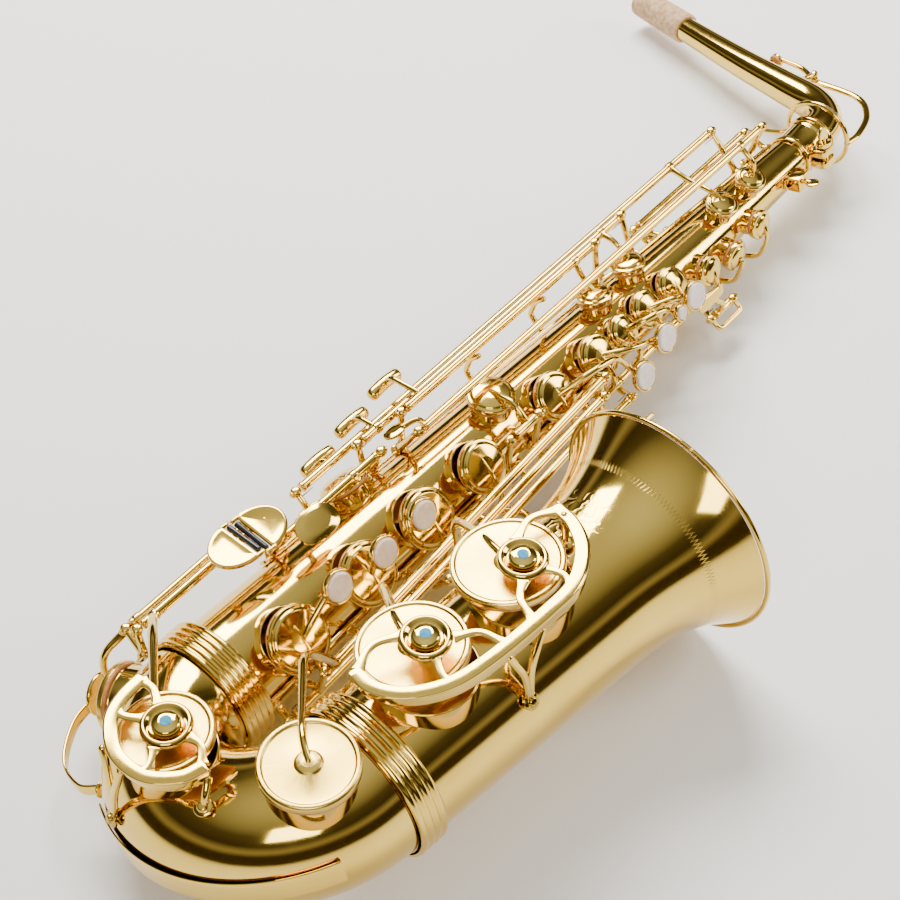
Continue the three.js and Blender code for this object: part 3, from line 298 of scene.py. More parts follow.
def plate(outline, thick, origin, face, along=(0, 1, 0), edge=0.7, crown=0.0, corner=2.5):
    """A plate: rings of its outline [across, along] scaled from the middle to the rounded edge,
    on one face and back on the other. "crown" lifts or sinks the middle of the upper face."""
    face = unit(face)
    y = unit(np.asarray(along, float) - face * (np.asarray(along, float) @ face))
    x = np.cross(y, face)
    line = eased(outline, corner, True, 6)
    middle = (line.max(0) + line.min(0)) / 2
    size = np.abs(line - middle).max(0).min()
    e = min(edge, thick / 2)
    inset = e / size
    half = thick / 2
    levels = [(0.35, -half, 0), (0.8, -half, 0), (1 - inset, -half, 0), (1 - 0.3 * inset, 0.3 * e - half, 0),
              (1, e - half, 0), (1, half - e, 0), (1 - 0.3 * inset, half - 0.3 * e, 0), (1 - inset, half, 0),
              (0.9 - inset, half, 0.25), (0.7, half, 0.6), (0.5, half, 0.85), (0.25, half, 0.96)]
    rings = [origin + (middle + (line - middle) * s) @ np.array([x, y]) + face * (h + crown * c)
             for s, h, c in levels]
    centre = origin + middle @ np.array([x, y])
    return skin(rings, tips=(centre - face * half, centre + face * (half + crown)))


def oval(half_width, half_length, corners=40, power=1.0):
    """An ellipse's points; a power below one squares it off."""
    t = np.linspace(0, 2 * np.pi, corners, endpoint=False)
    c, s = np.cos(t), np.sin(t)
    return np.stack([half_width * np.sign(c) * np.abs(c) ** power,
                     half_length * np.sign(s) * np.abs(s) ** power], -1)


def rod(a, b, r, r_end=None, sides=24, corner=0.3):
    """A straight bar from a to b with eased ends."""
    length = float(np.linalg.norm(b - a))
    r_end = r if r_end is None else r_end
    return turned([(0, 0), (r, 0), (r_end, length), (0, length)], a, b - a, sides, corner)


# ---- Places on the instrument ---------------------------------------------------------------------
def body_radius(y):
    """The body tube's outer radius at a height: a straight cone."""
    return mix(BODY_R_LOW, BODY_R_TOP, y / BODY_LENGTH)


def spoke(degrees):
    """A direction out of the body: 0 is its front and 90 the player's right."""
    return vec(math.cos(math.radians(degrees)), 0, math.sin(math.radians(degrees)))


def around(y, degrees, distance):
    """A place about the body's axis, by height, direction and distance."""
    return spoke(degrees) * distance + vec(0, y, 0)


BOW_MIDDLE = vec(BOW_R, BOW_Y, 0)
BOW_TURN = 180 - BELL_LEAN


def bow_point(degrees, reach=BOW_R):
    """A place on the bow's arc, from the body tube at 0 round to the bell."""
    t = np.radians(degrees)
    return BOW_MIDDLE + np.stack([-reach * np.cos(t), -reach * np.sin(t), 0 * t], -1)


BELL_AXIS = vec(math.sin(math.radians(BELL_LEAN)), math.cos(math.radians(BELL_LEAN)), 0)
BELL_FOOT = bow_point(BOW_TURN) + BELL_AXIS * GAP
SIDE_FACE = spoke(74)


def bell_point(far):
    """A place on the bell's axis, by its distance from the bell's foot."""
    return BELL_FOOT + BELL_AXIS * far


def bell_radius(t):
    """The bell's radius at a share t of its length: a slow cone, and a flare by the third power."""
    flare = np.maximum(0, (t - FLARE_AT) / (1 - FLARE_AT)) ** 3
    return mix(BELL_R_LOW, BELL_THROAT_R, t) + (RIM_R - BELL_THROAT_R - 1.5) * flare


class Hole:
    """A tone hole: where its axis leaves its tube's middle line, the way it faces and its radius."""

    def __init__(self, root, face, r, reach):
        self.root, self.face, self.r, self.reach = root, unit(face), r, reach

    def at(self, height):
        return self.root + self.face * height

    @property
    def rim(self):
        return self.at(self.reach)

    def top(self, extra=0.0):
        return self.at(self.reach + GAP + CUP_DEPTH - 1 + extra)


def body_hole(y, degrees, r, height=CHIMNEY):
    """A tone hole of the body tube."""
    return Hole(vec(0, y, 0), spoke(degrees), r, body_radius(y) + height)


HOLES = {
    "low_e_flat": Hole(bow_point(15), bow_point(15) - BOW_MIDDLE, 15.5, 34.5),
    "low_c": Hole(bow_point(75), SIDE_FACE, 19, 40.8),
    "low_c_sharp": Hole(vec(2 * BOW_R - 4, -40, 0), SIDE_FACE, 19, 40),
    "low_b": Hole(bell_point(42), SIDE_FACE, 22, 43.5),
    "low_b_flat": Hole(bell_point(100), SIDE_FACE, 22.5, 46),
    "d": body_hole(24, 32, 14),
    "e": body_hole(73, 32, 13.5),
    "f": body_hole(117, 32, 13),
    "f_sharp": body_hole(160, 32, 11.5),
    "alt_f_sharp": body_hole(108, 115, 10.5),
    "g_sharp": body_hole(196, 72, 10),
    "g": body_hole(222, 32, 10.5),
    "a": body_hole(259, 32, 9.5),
    "bis": body_hole(283, 32, 7),
    "b": body_hole(305, 32, 8.2),
    "c": body_hole(329, 32, 7.8),
    "side_bb": body_hole(291, 84, 7.6),
    "side_c": body_hole(323, 88, 7.2),
    "palm_d": body_hole(362, 4, 7),
    "palm_e_flat": body_hole(388, -14, 6.8),
    "palm_f": body_hole(414, -2, 6.4),
    "side_e": body_hole(398, 62, 6.6),
    "high_f_sharp": body_hole(427, 62, 6.2),
    "octave_vent": body_hole(386, 180, 2.4, 5),
}


def along(line, y):
    """The point of a straight line at a height y."""
    return line[0] + (line[1] - line[0]) * (y - line[0][1]) / (line[1][1] - line[0][1])


def upright(x, z):
    """The line of a hinge that stands parallel to the body."""
    return [vec(x, 0, z), vec(x, 100, z)]


LOWER_ROD = [around(3, -24, 38.5), around(187, -24, 32.5)]
UPPER_ROD = [around(204, -25, 30.5), around(346, -25, 25.5)]
BELL_ROD = [vec(59, 20, 8), vec(44, 250, 8)]
BELL_ROD_STEP = vec(5, 0, -3.7)
CSHARP_ROD = [p - BELL_ROD_STEP for p in BELL_ROD]
BB_ROD = [p + BELL_ROD_STEP for p in BELL_ROD]
SIDE_E_ROD = upright(-23, 37)
SIDE_C_ROD = upright(-14.5, 41.5)
SIDE_BB_ROD = upright(-7, 45.5)
HIGH_F_ROD = upright(6, 40)
ALT_ROD = upright(-3.3, 38)
LOW_C_ROD = upright(-20, 40)
LOW_EB_ROD = upright(-30.5, 35.5)
GSHARP_ROD = upright(33, 19)
LEVER_ROD = upright(31, -22)
PALM_ROD = [around(340, -100, 30), around(440, -100, 28)]
FRONT_F_ROD = upright(31, -20.5)
OCTAVE_ROD = upright(-26, 16)

# Where the instrument stands in the frame: leaned and pitched, and set by the neck's swivel.
LAID = np.array(Matrix.Rotation(math.radians(PITCH), 3, "X") @ Matrix.Rotation(math.radians(-ROLL), 3, "Y"))
SWIVEL = next(np.array(j["pos_m"]) for j in frame["joints"] if j["name"] == "neck_swivel")
ORIGIN = SWIVEL - LAID @ vec(0, RECEIVER_TOP, 0) / 1000


def turning(axis, angle, pivot):
    """A move that turns points about a line: Rodrigues' rotation."""
    k = unit(axis)
    cross = np.array([[0, -k[2], k[1]], [k[2], 0, -k[0]], [-k[1], k[0], 0]])
    matrix = np.eye(3) + math.sin(angle) * cross + (1 - math.cos(angle)) * cross @ cross
    return lambda points: (points - pivot) @ matrix.T + pivot


def neck_swing(points):
    """Turns the neck's pieces to where the neck points."""
    return turning(UP, math.radians(NECK_TURN), vec(0, 0, 0))(points)


# ---- Shader maths ---------------------------------------------------------------------------------
class Wire:
    """A value in a shader; the usual operators on it add Math nodes."""

    def __init__(self, shader, socket):
        self.shader, self.socket = shader, socket

    def _math(self, operation, a, b):
        return self.shader.node("ShaderNodeMath", {"operation": operation}, {0: a, 1: b})

    def __add__(self, other):
        return self._math("ADD", self, other)

    __radd__ = __add__

    def __sub__(self, other):
        return self._math("SUBTRACT", self, other)

    def __rsub__(self, other):
        return self._math("SUBTRACT", other, self)

    def __mul__(self, other):
        return self._math("MULTIPLY", self, other)

    def __abs__(self):
        return self.shader.node("ShaderNodeMath", {"operation": "ABSOLUTE"}, {0: self})

    def clamped(self):
        """The value held between 0 and 1."""
        return self.shader.node("ShaderNodeClamp", None, {"Value": self})

    def out(self, key):
        """Another output of the same node."""
        return Wire(self.shader, self.socket.node.outputs[key])


class Shader:
    """The nodes of a new material, or of a world, made one by one."""

    def __init__(self, name, kind="materials", surface="Principled BSDF"):
        self.owner = getattr(bpy.data, kind).new(name)
        self.owner.use_nodes = True
        self.tree = self.owner.node_tree
        self.surface = self.tree.nodes[surface]

    def node(self, kind, settings=None, sockets=None, out=0):
        """Makes a node, sets its settings and then its sockets, and gives one of its outputs."""
        made = self.tree.nodes.new(kind)
        for key, value in (settings or {}).items():
            if key == "stops":
                ramp = made.color_ramp
                while len(ramp.elements) < len(value):
                    ramp.elements.new(0.5)
                for element, (stop, colour) in zip(ramp.elements, value):
                    element.position, element.color = stop, rgba(colour)
            else:
                setattr(made, key, value)
        for key, value in (sockets or {}).items():
            self.put(made, key, value)
        return Wire(self, made.outputs[out])

    def put(self, made, key, value):
        """Links a wire to a socket, or sets the socket to a constant."""
        if isinstance(value, Wire):
            self.tree.links.new(value.socket, made.inputs[key])
        else:
            made.inputs[key].default_value = value

    def set(self, **sockets):
        """Sets the surface's sockets by their names."""
        for key, value in sockets.items():
            self.put(self.surface, key.replace("_", " "), value)

    def place(self, stretch=(1, 1, 1)):
        """The object's own coordinates, stretched."""
        spot = self.node("ShaderNodeTexCoord", out="Object")
        return self.node("ShaderNodeMapping", None, {"Vector": spot, "Scale": stretch})

    def noise(self, where, scale, detail=2.0, rough=0.5):
        """Cloudy values between 0 and 1."""
        return self.node("ShaderNodeTexNoise", None, {
            "Vector": where, "Scale": scale, "Detail": detail, "Roughness": rough}, "Fac")

    def blend(self, share, a, b):
        """A colour between a and b."""
        return self.node("ShaderNodeMix", {"data_type": "RGBA"}, {0: share, 6: a, 7: b}, 2)

    def bump(self, height, strength, distance):
        """A surface direction that follows a height."""
        return self.node("ShaderNodeBump", None,
                         {"Height": height, "Strength": strength, "Distance": distance})


def rgba(colour):
    """A colour with its opacity."""
    return (*colour, 1.0)


# ---- Finishes -------------------------------------------------------------------------------------
def brass(name, light, deep, polish, spun=False, engraved=False):
    """Lacquered brass: two golds drift into each other, with faint waves left by hand polishing.
    "spun" adds fine rings of a lathe's cut, and "engraved" a zigzag band and curls cut into the bell."""
    s = Shader(name)
    where = s.place()
    drift = s.noise(where, 28.0, 2.0)
    colour = s.blend(drift, rgba(deep), rgba(light))
    rough = polish + s.noise(where, 190.0, 3.0) * 0.05
    height = s.noise(where, 55.0, 1.0) * 0.6
    bump = s.bump(height, 0.05, 0.002)
    if spun:
        spread = s.node("ShaderNodeUVMap", {"uv_map": "skin"})
        rings = s.node("ShaderNodeMapping", None, {"Vector": spread, "Scale": (0.2, 90.0, 1.0)})
        lines = s.noise(rings, 9.0, 2.0)
        rough = rough + lines * 0.16
        bump = s.bump(lines, 0.12, 0.0006)
    if engraved:
        spread = s.node("ShaderNodeUVMap", {"uv_map": "skin"})
        parts = s.node("ShaderNodeSeparateXYZ", None, {0: spread})
        up, turn = parts.out("X"), parts.out("Y")
        # A zigzag band: marks where the height up the bell is near a wave of teeth round it.
        saw = s.node("ShaderNodeMath", {"operation": "PINGPONG"}, {0: turn * 150.0, 1: 0.5})
        line = abs(up * 150.0 - saw * 0.9 - 26.5)
        zigzag = (0.1 - line) * 8.0
        # Curls: rings bent by noise, kept to a field below the band on the side that shows.
        curls = s.node("ShaderNodeTexWave", {"wave_type": "RINGS", "rings_direction": "SPHERICAL"}, {
            "Vector": where, "Scale": 58.0, "Distortion": 16.0, "Detail": 2.0, "Detail Scale": 1.6}, "Fac")
        side = (0.11 - abs(turn - 0.3)) * 14.0
        field = ((up - 0.1) * 60.0).clamped() * ((0.165 - up) * 60.0).clamped() * side.clamped()
        marks = (zigzag.clamped() + ((0.3 - curls) * 6.0).clamped() * field).clamped()
        rough = rough + marks * 0.22
        colour = s.blend(marks * 0.45, colour, rgba(tuple(c * 0.55 for c in deep)))
        bump = s.bump(height * 0.05 - marks, 0.25, 0.0005)
    s.set(Base_Color=colour, Metallic=1.0, Roughness=rough, Normal=bump, Coat_Weight=0.25,
          Coat_Roughness=0.03)
    return s.owner


def soft_stuff(name, low, high, scale, rough, depth, sheen=0.0):
    """Leather, cork or felt: two colours mixed by grain, with the grain's own relief."""
    s = Shader(name)
    where = s.place()
    grain = s.noise(where, scale, 4.0, 0.6)
    colour = s.blend((grain - 0.35) * 2.6, rgba(low), rgba(high))
    s.set(Base_Color=colour, Roughness=rough, Normal=s.bump(grain, 0.5, depth), Sheen_Weight=sheen)
    return s.owner


def pearl_stuff(name, colour):
    """Mother of pearl: cloudy white with rose and grey-green patches under a clear gloss."""
    s = Shader(name)
    where = s.place()
    cloud = s.noise(where, 240.0, 4.0, 0.6)
    tint = s.blend((cloud - 0.35) * 2.4, rgba((0.86, 0.66, 0.60)), rgba(colour))
    tint = s.blend((s.noise(where, 420.0, 2.0) - 0.55) * 2.0, tint, rgba((0.62, 0.68, 0.62)))
    s.set(Base_Color=tint, Roughness=0.18, Coat_Weight=0.8, Coat_Roughness=0.04)
    return s.owner


def plain(name, colour, rough, metal=0.0):
    """A plain glossy finish with a little unevenness."""
    s = Shader(name)
    s.set(Base_Color=rgba(colour), Metallic=metal, Roughness=rough + s.noise(s.place(), 160.0) * 0.08)
    return s.owner


# Each finish: the record's slot that it belongs to, and how its material is made.
FINISHES = {}


def make_finishes(tints):
    """Makes every finish from the tints that the user chose."""
    light, deep, polish = tuple(tints.brass), tuple(tints.brass_deep), tints.polish
    FINISHES.update({
        "brass": ("lacquered_brass", brass("Lacquered brass", light, deep, polish)),
        "bell": ("lacquered_brass", brass("Engraved bell brass", light, deep, polish, engraved=True)),
        "key": ("key_brass", brass("Key brass", light, tuple(c * 0.94 for c in deep), polish + 0.01)),
        "spun": ("key_brass", brass("Spun cup brass", light, deep, polish + 0.05, spun=True)),
        "polished": ("polished_brass",
                     brass("Polished screw brass", tuple(c * 1.05 for c in light), light, 0.06)),
        "pad": ("key_brass",
                soft_stuff("Pad leather", (0.42, 0.16, 0.05), (0.62, 0.27, 0.09), 420.0, 0.55, 0.0004)),
        "felt": ("polished_brass",
                 soft_stuff("Blue felt", (0.01, 0.22, 0.42), (0.05, 0.42, 0.62), 900.0, 0.9, 0.0006, 0.5)),
        "cork": ("cork", soft_stuff("Cork", (0.42, 0.25, 0.12), tuple(tints.cork), 330.0, 0.8, 0.0006)),
        "pearl": ("key_brass", pearl_stuff("Pearl", tuple(tints.pearl))),
        "black": ("black_plastic", plain("Black plastic", (0.012, 0.011, 0.012), 0.22)),
        "steel": ("lacquered_brass", plain("Blued steel", (0.12, 0.14, 0.22), 0.25, 1.0)),
    })


def piece(name, body, finish, surfaces, stands_for=(), moves=()):
    """One visible piece: surfaces joined in one mesh, moved to where the instrument lies, given its
    finish and set to ride on its body."""
    points, faces, sizes, uvs, start = [], [], [], [], 0
    for p, f, n, uv in surfaces:
        points.append(p)
        faces.append(f + start)
        sizes.append(n)
        uvs.append(uv)
        start += len(p)
    points = np.vstack(points)
    for move in moves:
        points = move(points)
    points = points @ LAID.T / 1000 + ORIGIN
    faces, sizes, uvs = np.concatenate(faces), np.concatenate(sizes), np.vstack(uvs)
    mesh = bpy.data.meshes.new(name)
    mesh.vertices.add(len(points))
    mesh.vertices.foreach_set("co", points.astype(np.float32).ravel())
    mesh.loops.add(len(faces))
    mesh.loops.foreach_set("vertex_index", faces.astype(np.int32))
    mesh.polygons.add(len(sizes))
    mesh.polygons.foreach_set("loop_start", np.concatenate([[0], np.cumsum(sizes)[:-1]]).astype(np.int32))
    mesh.update(calc_edges=True)
    layer = mesh.uv_layers.new(name="skin")
    layer.uv.foreach_set("vector", uvs.astype(np.float32).ravel())
    mesh.polygons.foreach_set("use_smooth", np.ones(len(sizes), bool))
    mesh.validate()
    mesh.set_sharp_from_angle(angle=math.radians(40))
    slot, material = FINISHES[finish]
    mesh.materials.append(material)
    made = bpy.data.objects.new(name, mesh)
    bpy.context.scene.collection.objects.link(made)
    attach(made, body)
    if stands_for:
        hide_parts(*stands_for)
    return made


# ---- Tubes ----------------------------------------------------------------------------------------
def chimney(hole, base, wall=WALL):
    """A tone hole's wall: an upright ring from inside the tube to a rounded rim."""
    r = hole.r
    return turned([(r, base), (r + wall, base), (r + wall, hole.reach - 0.8),
                   (r + wall + 0.35, hole.reach - 0.4),
                   (r + wall * 0.6, hole.reach), (r, hole.reach - 0.3), (r, base)], hole.root, hole.face,
                  max(24, int(hole.r * 4)), 0.4)


def chimney_foot(tube_r, hole, sunk):
    """The height where a chimney starts: its side's meeting with the tube, sunk a little further."""
    return math.sqrt(max(tube_r ** 2 - (hole.r + 1) ** 2, 4)) - sunk


def bore(surface, holes, onto):
    """Cuts round holes in a tube's walls: faces whose corners are all inside a hole go, and the
    corners left inside are moved out to its edge and back "onto" their wall."""
    points, faces, sizes, uv = surface
    quads = faces.reshape(-1, 4)
    keep = np.ones(len(quads), bool)
    moved = points.copy()
    for hole in holes:
        away = points - hole.root
        height = away @ hole.face
        out = away - height[:, None] * hole.face
        distance = np.linalg.norm(out, axis=1)
        inside = (distance < hole.r + 0.5) & (height > 0) & (height < hole.reach + 12)
        keep &= ~inside[quads].all(1)
        moved[inside] += out[inside] * ((hole.r + 0.5) / np.maximum(distance[inside], 1e-6) - 1)[:, None]
    moved = onto(moved)
    used, index = np.unique(quads[keep], return_inverse=True)
    return moved[used], index.reshape(-1), sizes[keep], uv[np.repeat(keep, 4)]


def walled(centres, first, second, radii, lengths, sides):
    """A tube's outer wall and, back the other way, its inner wall, as one closed surface, and how
    deep under the outer wall each of its points lies."""
    ring = circles(first, second, sides)
    outer = centres[:, None] + radii[:, None, None] * ring
    inner = centres[:, None] + (radii - WALL)[:, None, None] * ring
    shell = skin(np.concatenate([outer, inner[::-1]]), True,
                 u=np.concatenate([lengths, lengths[::-1]]) / 1000)
    depth = np.repeat([0, WALL], len(centres) * sides)
    return shell, depth


def make_body_tube():
    """The body tube: a straight cone's two walls, bored for its tone holes, and their chimneys."""
    foot = BOW_Y + GAP
    y = np.linspace(foot, BODY_LENGTH, 230)
    centres = np.stack([0 * y, y, 0 * y], -1)
    x, z = np.broadcast_to(FRONT, centres.shape), np.broadcast_to(RIGHT, centres.shape)
    surface, depth = walled(centres, x, z, body_radius(y), y, 120)

    def onto(p):
        flat = p * [1, 0, 1]
        want = body_radius(p[:, 1]) - depth
        return flat * (want / np.linalg.norm(flat, axis=1))[:, None] + p * [0, 1, 0]

    holes = [h for name, h in HOLES.items() if not name.startswith("low_")]
    walls = [chimney(h, chimney_foot(body_radius(h.root[1]), h, 1.5)) for h in holes]
    piece("body_tube_walls", HORN, "brass", [bore(surface, holes, onto)] + walls, ["body_tube"])


def make_bow():
    """The bow: circles carried round an arc, growing evenly from the body to the bell."""
    t = np.linspace(0, BOW_TURN, 110)
    centres = bow_point(t)
    outward = unit(centres - BOW_MIDDLE)
    side = np.broadcast_to(RIGHT, centres.shape)
    radii = mix(BOW_R_IN, BOW_R_OUT, t / BOW_TURN)
    surface, depth = walled(centres, outward, side, radii, t, 128)

    def onto(p):
        flat = p - BOW_MIDDLE
        angle = np.degrees(np.arctan2(-flat[:, 1], -flat[:, 0]))
        angle = np.clip(np.where(angle < -90, angle + 360, angle), 0, BOW_TURN)
        middle = bow_point(angle)
        away = p - middle
        want = mix(BOW_R_IN, BOW_R_OUT, angle / BOW_TURN) - depth
        return middle + away * (want / np.linalg.norm(away, axis=1))[:, None]

    holes = [HOLES[n] for n in ("low_e_flat", "low_c", "low_c_sharp")]
    walls = [chimney(h, chimney_foot(32, h, 3)) for h in holes]
    piece("bow_walls", HORN, "brass", [bore(surface, holes, onto)] + walls, ["bow"])


def make_bell():
    """The bell: circles of the bell's radius up its leaning axis, and a wire rolled into the rim."""
    t = np.concatenate([np.linspace(0, 0.62, 60), np.linspace(0.625, 0.995, 60)])
    y = t * BELL_LENGTH
    centres = bell_point(0) + y[:, None] * BELL_AXIS
    across = vec(BELL_AXIS[1], -BELL_AXIS[0], 0)
    first, second = np.broadcast_to(across, centres.shape), np.broadcast_to(RIGHT, centres.shape)
    surface, depth = walled(centres, first, second, bell_radius(t), y, 150)

    def onto(p):
        up = (p - BELL_FOOT) @ BELL_AXIS
        flat = p - BELL_FOOT - up[:, None] * BELL_AXIS
        want = bell_radius(up / BELL_LENGTH) - depth
        return BELL_FOOT + up[:, None] * BELL_AXIS + flat * (want / np.linalg.norm(flat, axis=1))[:, None]

    holes = [HOLES["low_b"], HOLES["low_b_flat"]]
    walls = [chimney(h, chimney_foot(37, h, 1)) for h in holes]
    rim = hoop(circle(bell_point(BELL_LENGTH), across, RIGHT, RIM_R - 1.2), 1.35, 160)
    piece("bell_walls", HORN, "bell", [bore(surface, holes, onto)] + walls + [rim], ["bell"])


def ribbed_band(centre, axis, inner, length, ribs):
    """A band of rounded ribs: its profile bulges out and in along the axis."""
    pitch = length / ribs
    line = [(inner, -length / 2)]
    for i in range(ribs):
        t = np.linspace(0.08, 0.92, 7)
        line += [(inner + 0.9 + 1.15 * math.sin(math.pi * k) ** 0.7,
                  -length / 2 + (i + k) * pitch) for k in t]
    return turned(line + [(inner, length / 2), (inner, -length / 2)], centre, axis, 110, 0.12)


def make_bands():
    """The two bands round the bow's joints, and the strip that guards the bow underneath."""
    centre = vec(0, BOW_Y + 4, 0)
    piece("body_bow_band_ribs", HORN, "brass", [ribbed_band(centre, UP, BOW_R_IN + 1.3, 17, 5)],
          ["body_bow_band"])
    piece("bell_bow_band_ribs", HORN, "brass",
          [ribbed_band(bell_point(8), BELL_AXIS, BELL_R_LOW + 1.2, 15, 4)],
          ["bell_bow_band"])
    t = np.linspace(62, 152, 60)
    reach = BOW_R + mix(BOW_R_IN, BOW_R_OUT, t / BOW_TURN) + 1.1
    line = BOW_MIDDLE + np.stack([-reach * np.cos(np.radians(t)), -reach * np.sin(np.radians(t)), 0 * t], -1)
    piece("bow_guard_strip", HORN, "brass", [ribbon(line, unit(line - BOW_MIDDLE), 13, 1.2)], ["bow_guard"])


# ---- Neck -----------------------------------------------------------------------------------------
NECK_LINE = smooth([vec(x, y, 0) for x, y in
                    ((0, 482), (0, 503), (-3, 521), (-17, 534), (-44, 541), (-90, 552), (-180, 577))], 160)
NECK_RUN = np.append(0, np.cumsum(np.linalg.norm(np.diff(NECK_LINE, axis=0), axis=1)))
CORK_START = 1 - CORK_LENGTH / NECK_RUN[-1]


def neck_place(t):
    """Places on the neck's line, at shares t of its length."""
    return np.array([np.interp(t * NECK_RUN[-1], NECK_RUN, NECK_LINE[:, k]) for k in range(3)]).T


def neck_radius(t):
    """The neck's outer radius: even in the tenon, then a straight cone to the tip."""
    return mix(TENON_R, NECK_TIP_R, np.maximum(0, (t - 0.12) / 0.88))


def octave_pivot(z=0.0):
    """The octave key's pivot above the neck."""
    return neck_place(PIVOT_AT) + vec(3.5, 16.5, z)


def tube_along(t, outer, inner, sides=48):
    """A walled tube on the neck's line: circles of two radii, out and back."""
    centres = neck_place(t)
    tangent = unit(np.gradient(centres, axis=0))
    first = np.broadcast_to(RIGHT, centres.shape)
    second = np.cross(tangent, first)
    ring = circles(first, second, sides)
    walls = [centres[:, None] + radius[:, None, None] * ring for radius in (outer, inner)]
    return skin(np.concatenate([walls[0], walls[1][::-1]]), True)


def make_neck():
    """The neck with its collar, its vent and the octave key's two posts."""
    t = np.linspace(0.001, 0.999, 150)
    collar = turned([(12.2, 0), (14, 0), (15.2, 1.2), (15.2, 3.2), (13.2, 5), (12.2, 5), (12.2, 0)],
                    vec(0, RECEIVER_TOP + GAP, 0), UP, 60)
    sides = (-1, 1)
    posts = [pipe([neck_place(PIVOT_AT) + vec(0, 5, s * 5), octave_pivot(s * 5.2)], 1.9, 1.4) for s in sides]
    heads = [ball(octave_pivot(s * 5.2), 2.4) for s in sides]
    vent = rod(neck_place(VENT_AT), neck_place(VENT_AT) + vec(3.4, 13, 0), 2.4)
    piece("neck_tube", "neck", "brass", [
        tube_along(t, neck_radius(t), neck_radius(t) - WALL), collar, vent, *posts, *heads,
    ], ["neck"], [neck_swing])


def make_neck_cork():
    """The cork sleeve on the neck's tip, eased at both ends."""
    t = np.linspace(CORK_START, 0.997, 40)
    share = (t - t[0]) / (t[-1] - t[0])
    lower_ease, upper_ease = np.maximum(0, 1 - share / 0.03), np.maximum(0, (share - 0.97) / 0.03)
    outer = mix(10, 9.4, share) - 1.2 * lower_ease - 1.0 * upper_ease
    piece("neck_cork_sleeve", "neck", "cork", [tube_along(t, outer, neck_radius(t) + 0.1)], ["neck_cork"],
          [neck_swing])


def make_neck_octave_key():
    """The neck's octave key: a ring round the tenon, a spine over the bend, and the vent's padded cap."""
    ring_y = RECEIVER_TOP + 9.5
    vent = neck_place(VENT_AT) + vec(3.9, 14.2, 0)
    face = unit(vec(3.4, 13, 0))
    bend = [vec(21, 522, 0), vec(15, 541, 0), vec(0, 554, 0)]
    spine = [around(ring_y, 0, OCTAVE_RING_R), *bend, octave_pivot()]
    lever = [octave_pivot(), vec(-45, 563.5, 0), vent + vec(1.5, 5, 0)]
    piece("neck_octave_ring_key", "neck_octave_key", "key", [
        hoop(circle(vec(0, ring_y, 0), FRONT, RIGHT, OCTAVE_RING_R), 1.5),
        pipe(smooth(spine), 2.0, 2.4, 0.1, flat=0.7, face=RIGHT),
        pipe(smooth(lever), 2.0, 1.5, 0.1), rod(octave_pivot(-2.4), octave_pivot(2.4), 2.3),
        turned([(0, 1.6), (4.6, 1.6), (4.8, 3.4), (3.2, 4.2), (0, 5)], vent, face, 30),
    ], ["neck_octave_key"], [neck_swing])
    pad = turned([(0, 0), (4.2, 0), (4.2, 1.7), (0, 1.7)], vent, face, 24)
    piece("neck_octave_pad", "neck_octave_key", "pad", [pad], (), [neck_swing])


def make_receiver():
    """The clamp round the neck's tenon, with its two lugs, and the screw that closes it."""
    base = RECEIVER_BASE
    sleeve = turned([(TENON_R + 0.5, 0), (14, 0), (14.4, 1), (14.4, 3), (13.8, 3.6), (13.8, 18), (14.4, 19),
                     (14.4, 22), (TENON_R + 0.5, 22), (TENON_R + 0.5, 0)], vec(0, base, 0), UP, 72, 0.5)
    lugs = [plate(oval(5, 6, 30, 0.5), 5.2, vec(17, base + 11, s * 3.7), vec(0, 0, s)) for s in (-1, 1)]
    piece("neck_receiver_clamp", HORN, "brass", [sleeve, *lugs], ["neck_receiver"])
    y = base + 11
    piece("receiver_thumb_screw", "receiver_screw", "polished", [
        rod(vec(18.2, y, -8), vec(18.2, y, 9), 2), rod(vec(18.2, y, 7.2), vec(18.2, y, 9.5), 4.6),
        plate(oval(6.2, 4.2), 2.2, vec(18.2, y, 13), FRONT, UP),
        rod(vec(18.2, y, 9), vec(18.2, y, 12), 1.6),
    ], ["receiver_screw"])


# ---- Keys -----------------------------------------------------------------------------------------
def cup(hole, extra=2.6, flat=False):
    """A padded cup on its hole: the shell with its lip and step, and the leather pad under it.
    Narrow cups rise to a dome; wide ones are flat discs with a spun top."""
    r = hole.r + extra
    seat = hole.at(hole.reach + GAP)
    sides = max(36, int(r * 4))
    pad = turned([(0, 0), (r - 0.6, 0), (r - 0.2, 0.6), (r - 0.4, 2), (0, 2)], seat, hole.face, sides)
    if flat:
        line = [(0, 1.6), (r, 1.5), (r, 4.4), (r - 0.8, 5.3), (r - 2.2, 5.3), (r - 2.9, 4.7), (6, 4.9),
                (5.4, 5.8), (3, 6.4), (0, CUP_DEPTH)]
    else:
        line = [(0, 1.6), (r - 0.2, 1.4), (r, 1.8), (r, 3.6), (r - 0.5, 4.2), (r - 1.9, 4.4), (r - 2.4, 5.2),
                (r - 3.2, 5.7), (r * 0.35, 6.4), (0, CUP_DEPTH)]
    return turned(line, seat, hole.face, sides, 0.35), pad


def pearl(centre, face, r):
    """A finger button: a turned holder with a lip, and the pearl set in it, a little hollowed."""
    holder = turned([(0, -4), (2.6, -4), (3, -3.2), (r - 0.8, -0.8), (r, 0), (r, 1.9), (r - 0.5, 2.3),
                     (r - 1.1, 2.1), (r - 1.2, 1), (0, 1)], centre, face, 44)
    top = turned([(0, 0.8), (r - 1.3, 0.8), (r - 1.3, 2.3), (r - 2.2, 3.1), (r * 0.5, 2.9), (0, 2.7)],
                 centre, face, 44)
    return holder, top


